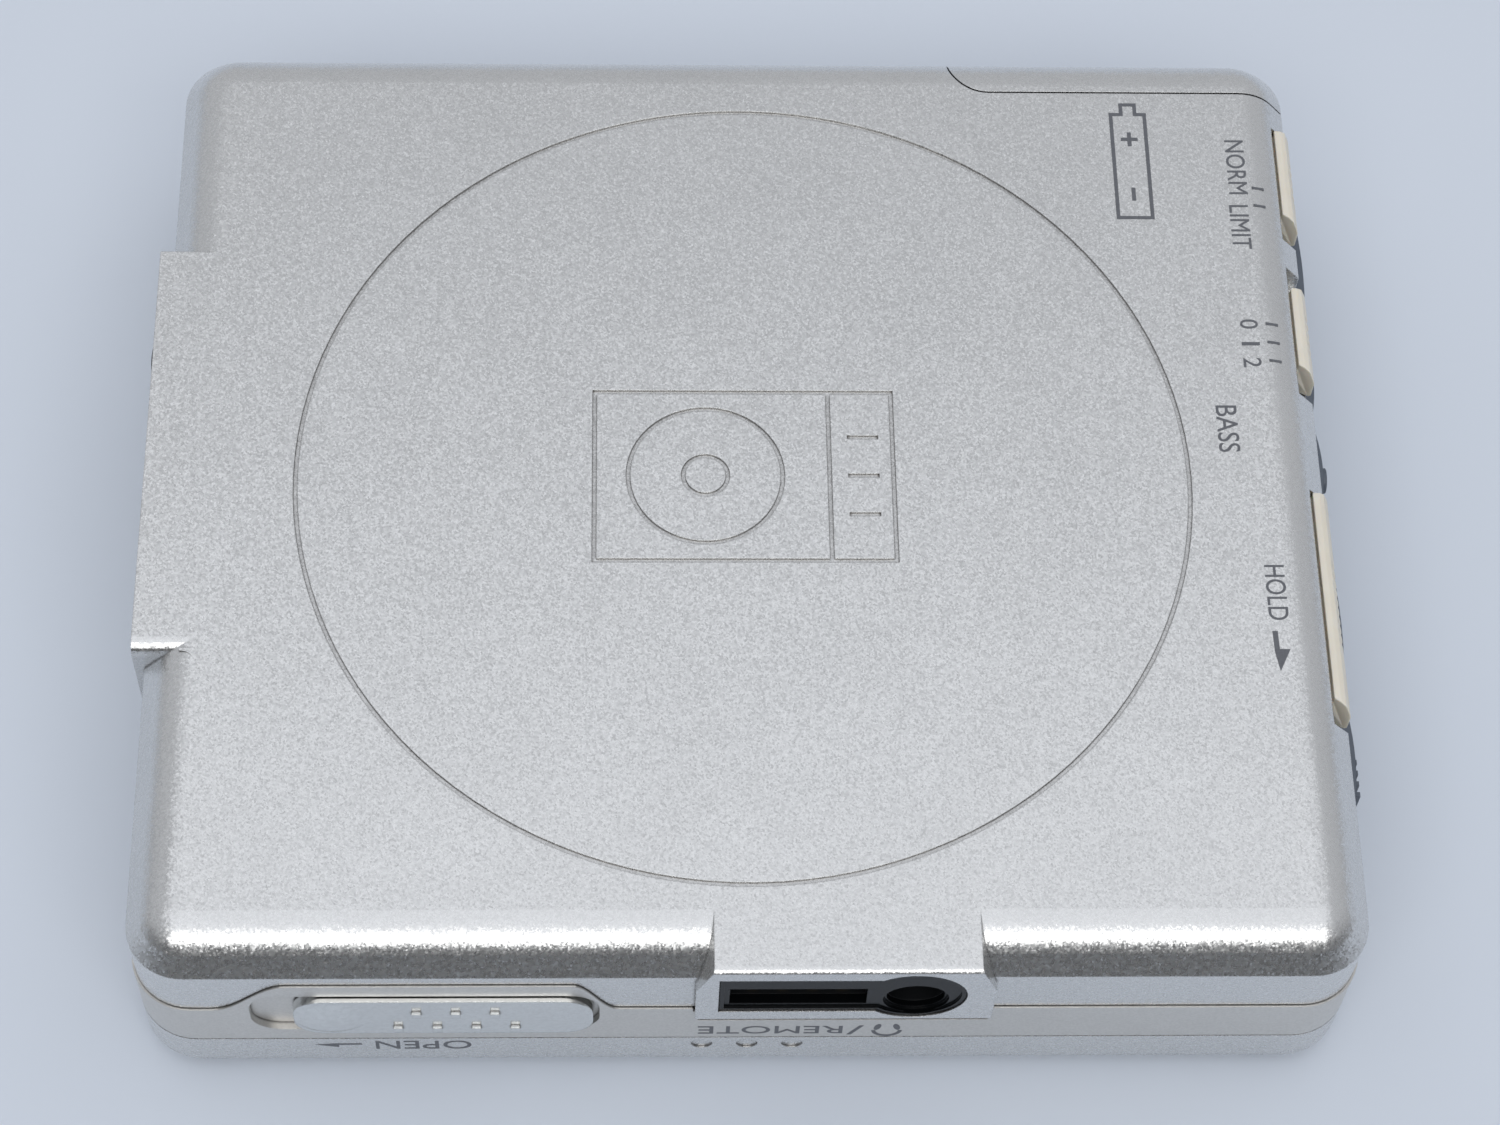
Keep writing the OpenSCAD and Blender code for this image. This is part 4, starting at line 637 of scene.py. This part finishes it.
def growTicks(name, sizes):
    # a row of printed ticks beside a slide switch
    tree, given = nodeTree(name, sizes)
    row = addNode(tree, "GeometryNodeMeshLine", {"mode": "OFFSET"}, {"Count": given.outputs["Count"]})
    step = addNode(tree, "ShaderNodeCombineXYZ", {}, {"Y": given.outputs["Step"]})
    start = addNode(tree, "ShaderNodeCombineXYZ", {},
                    {"X": given.outputs["Centre X"], "Y": given.outputs["First Y"],
                     "Z": given.outputs["Centre Z"]})
    lean = addNode(tree, "ShaderNodeCombineXYZ", {}, {"Y": given.outputs["Tilt"]})
    tree.links.new(step.outputs["Vector"], row.inputs["Offset"])
    tree.links.new(start.outputs["Vector"], row.inputs["Start Location"])
    size = addNode(tree, "ShaderNodeCombineXYZ", {},
                   {"X": given.outputs["Length"], "Y": given.outputs["Width"], "Z": given.outputs["Height"]})
    tick = addNode(tree, "GeometryNodeMeshCube", {}, {"Size": size.outputs["Vector"]})
    put = addNode(tree, "GeometryNodeInstanceOnPoints", {},
                  {"Points": row.outputs["Mesh"], "Instance": tick.outputs["Mesh"],
                   "Rotation": lean.outputs["Vector"]})
    real = addNode(tree, "GeometryNodeRealizeInstances", {}, {"Geometry": put.outputs["Instances"]})
    paint = addNode(tree, "GeometryNodeSetMaterial", {"Material": ink},
                    {"Geometry": real.outputs["Geometry"]})
    addNode(tree, "NodeGroupOutput", {}, {"Geometry": paint.outputs["Geometry"]})
    growPiece(name, tree, sizes, "player", ink)


growTicks("bassTicks", scaleTicks)
growTicks("limiterTicks", dict(scaleTicks, Count=2, **{"First Y": 22.21 * mm}))
print("scale ticks done")


# three moulded slide caps, with a shoulder, a step towards the shell, grip ribs and a slanted front end
slideCap = {
    "setIn": 0.2, "slant": 0.85, "round": 0.07,
    # the upright face: in from the face, up from the foot
    "upright": [(0.15, 0.0), (0.0, 0.25), (0.0, 1.7), (0.12, 2.1)],
    # the shoulder, then the step: in from the face, down from the crown
    "shoulder": [(0.42, 0.28), (0.78, 0.08), (1.22, 0.06)], "step": (1.22, 0.7),
    "ribDepth": 0.09, "ribPitch": 0.7, "ribFloor": 0.08, "ribTop": 0.18, "ribBand": 0.3, "ribClear": 0.5,
    "caps": [
        # name, replaced node, body, ribs
        ("limiterCap", "limiter_knob", "limiter_switch", 5),
        ("bassCap", "bass_knob", "bass_switch", 5),
        ("holdCap", "hold_knob", "hold_switch", 9),
    ],
}


def buildCap(name, node, body, ribs, look):
    low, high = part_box(node)
    out, foot, crown, inner = high.x - look["setIn"] * mm, low.z, high.z, low.x
    step, ledge = out - look["step"][0] * mm, crown - look["step"][1] * mm
    slant = look["slant"] * mm
    section = [(inner, foot)] + [(out - x * mm, foot + z * mm) for x, z in look["upright"]]
    section += [(out - x * mm, crown - z * mm) for x, z in look["shoulder"]] + [(step, ledge), (inner, ledge)]
    # each rib is a shallow cut across the face, and the ribs are centred on the cap
    stations, middle = [(low.y, 0.0)], (low.y + high.y) / 2
    for i in range(ribs):
        y = middle + (i - (ribs - 1) / 2) * look["ribPitch"] * mm
        for side, cut in ((-look["ribTop"], 0.0), (-look["ribFloor"], look["ribDepth"]),
                          (look["ribFloor"], look["ribDepth"]), (look["ribTop"], 0.0)):
            stations.append((y + side * mm, cut * mm))
    stations.append((high.y, 0.0))
    work = bmesh.new()
    rings = []
    for place, (y, cut) in enumerate(stations):
        ring = []
        for x, z in section:
            back = slant * min(1.0, (out - x) / (out - step)) if place == 0 else 0.0
            ribbed = x > out - look["ribBand"] * mm and foot < z < crown - look["ribClear"] * mm
            ring.append(work.verts.new((x - (cut if ribbed else 0.0), y + back, z)))
        rings.append(ring)
    work.faces.new(rings[0])
    work.faces.new(rings[-1])
    for near, far in zip(rings, rings[1:]):
        for i in range(len(section)):
            k = (i + 1) % len(section)
            work.faces.new((near[i], near[k], far[k], far[i]))
    mesh = closeMesh(work, bpy.data.meshes.new(name))
    piece = addPiece(name, mesh, body, finishes["ivory_plastic"])
    soften = piece.modifiers.new("softEdges", "BEVEL")
    soften.width, soften.segments, soften.limit_method = look["round"] * mm, 2, "ANGLE"
    soften.use_clamp_overlap = True
    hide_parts(node)


for cap in slideCap["caps"]:
    buildCap(*cap, slideCap)
print("slide caps done")
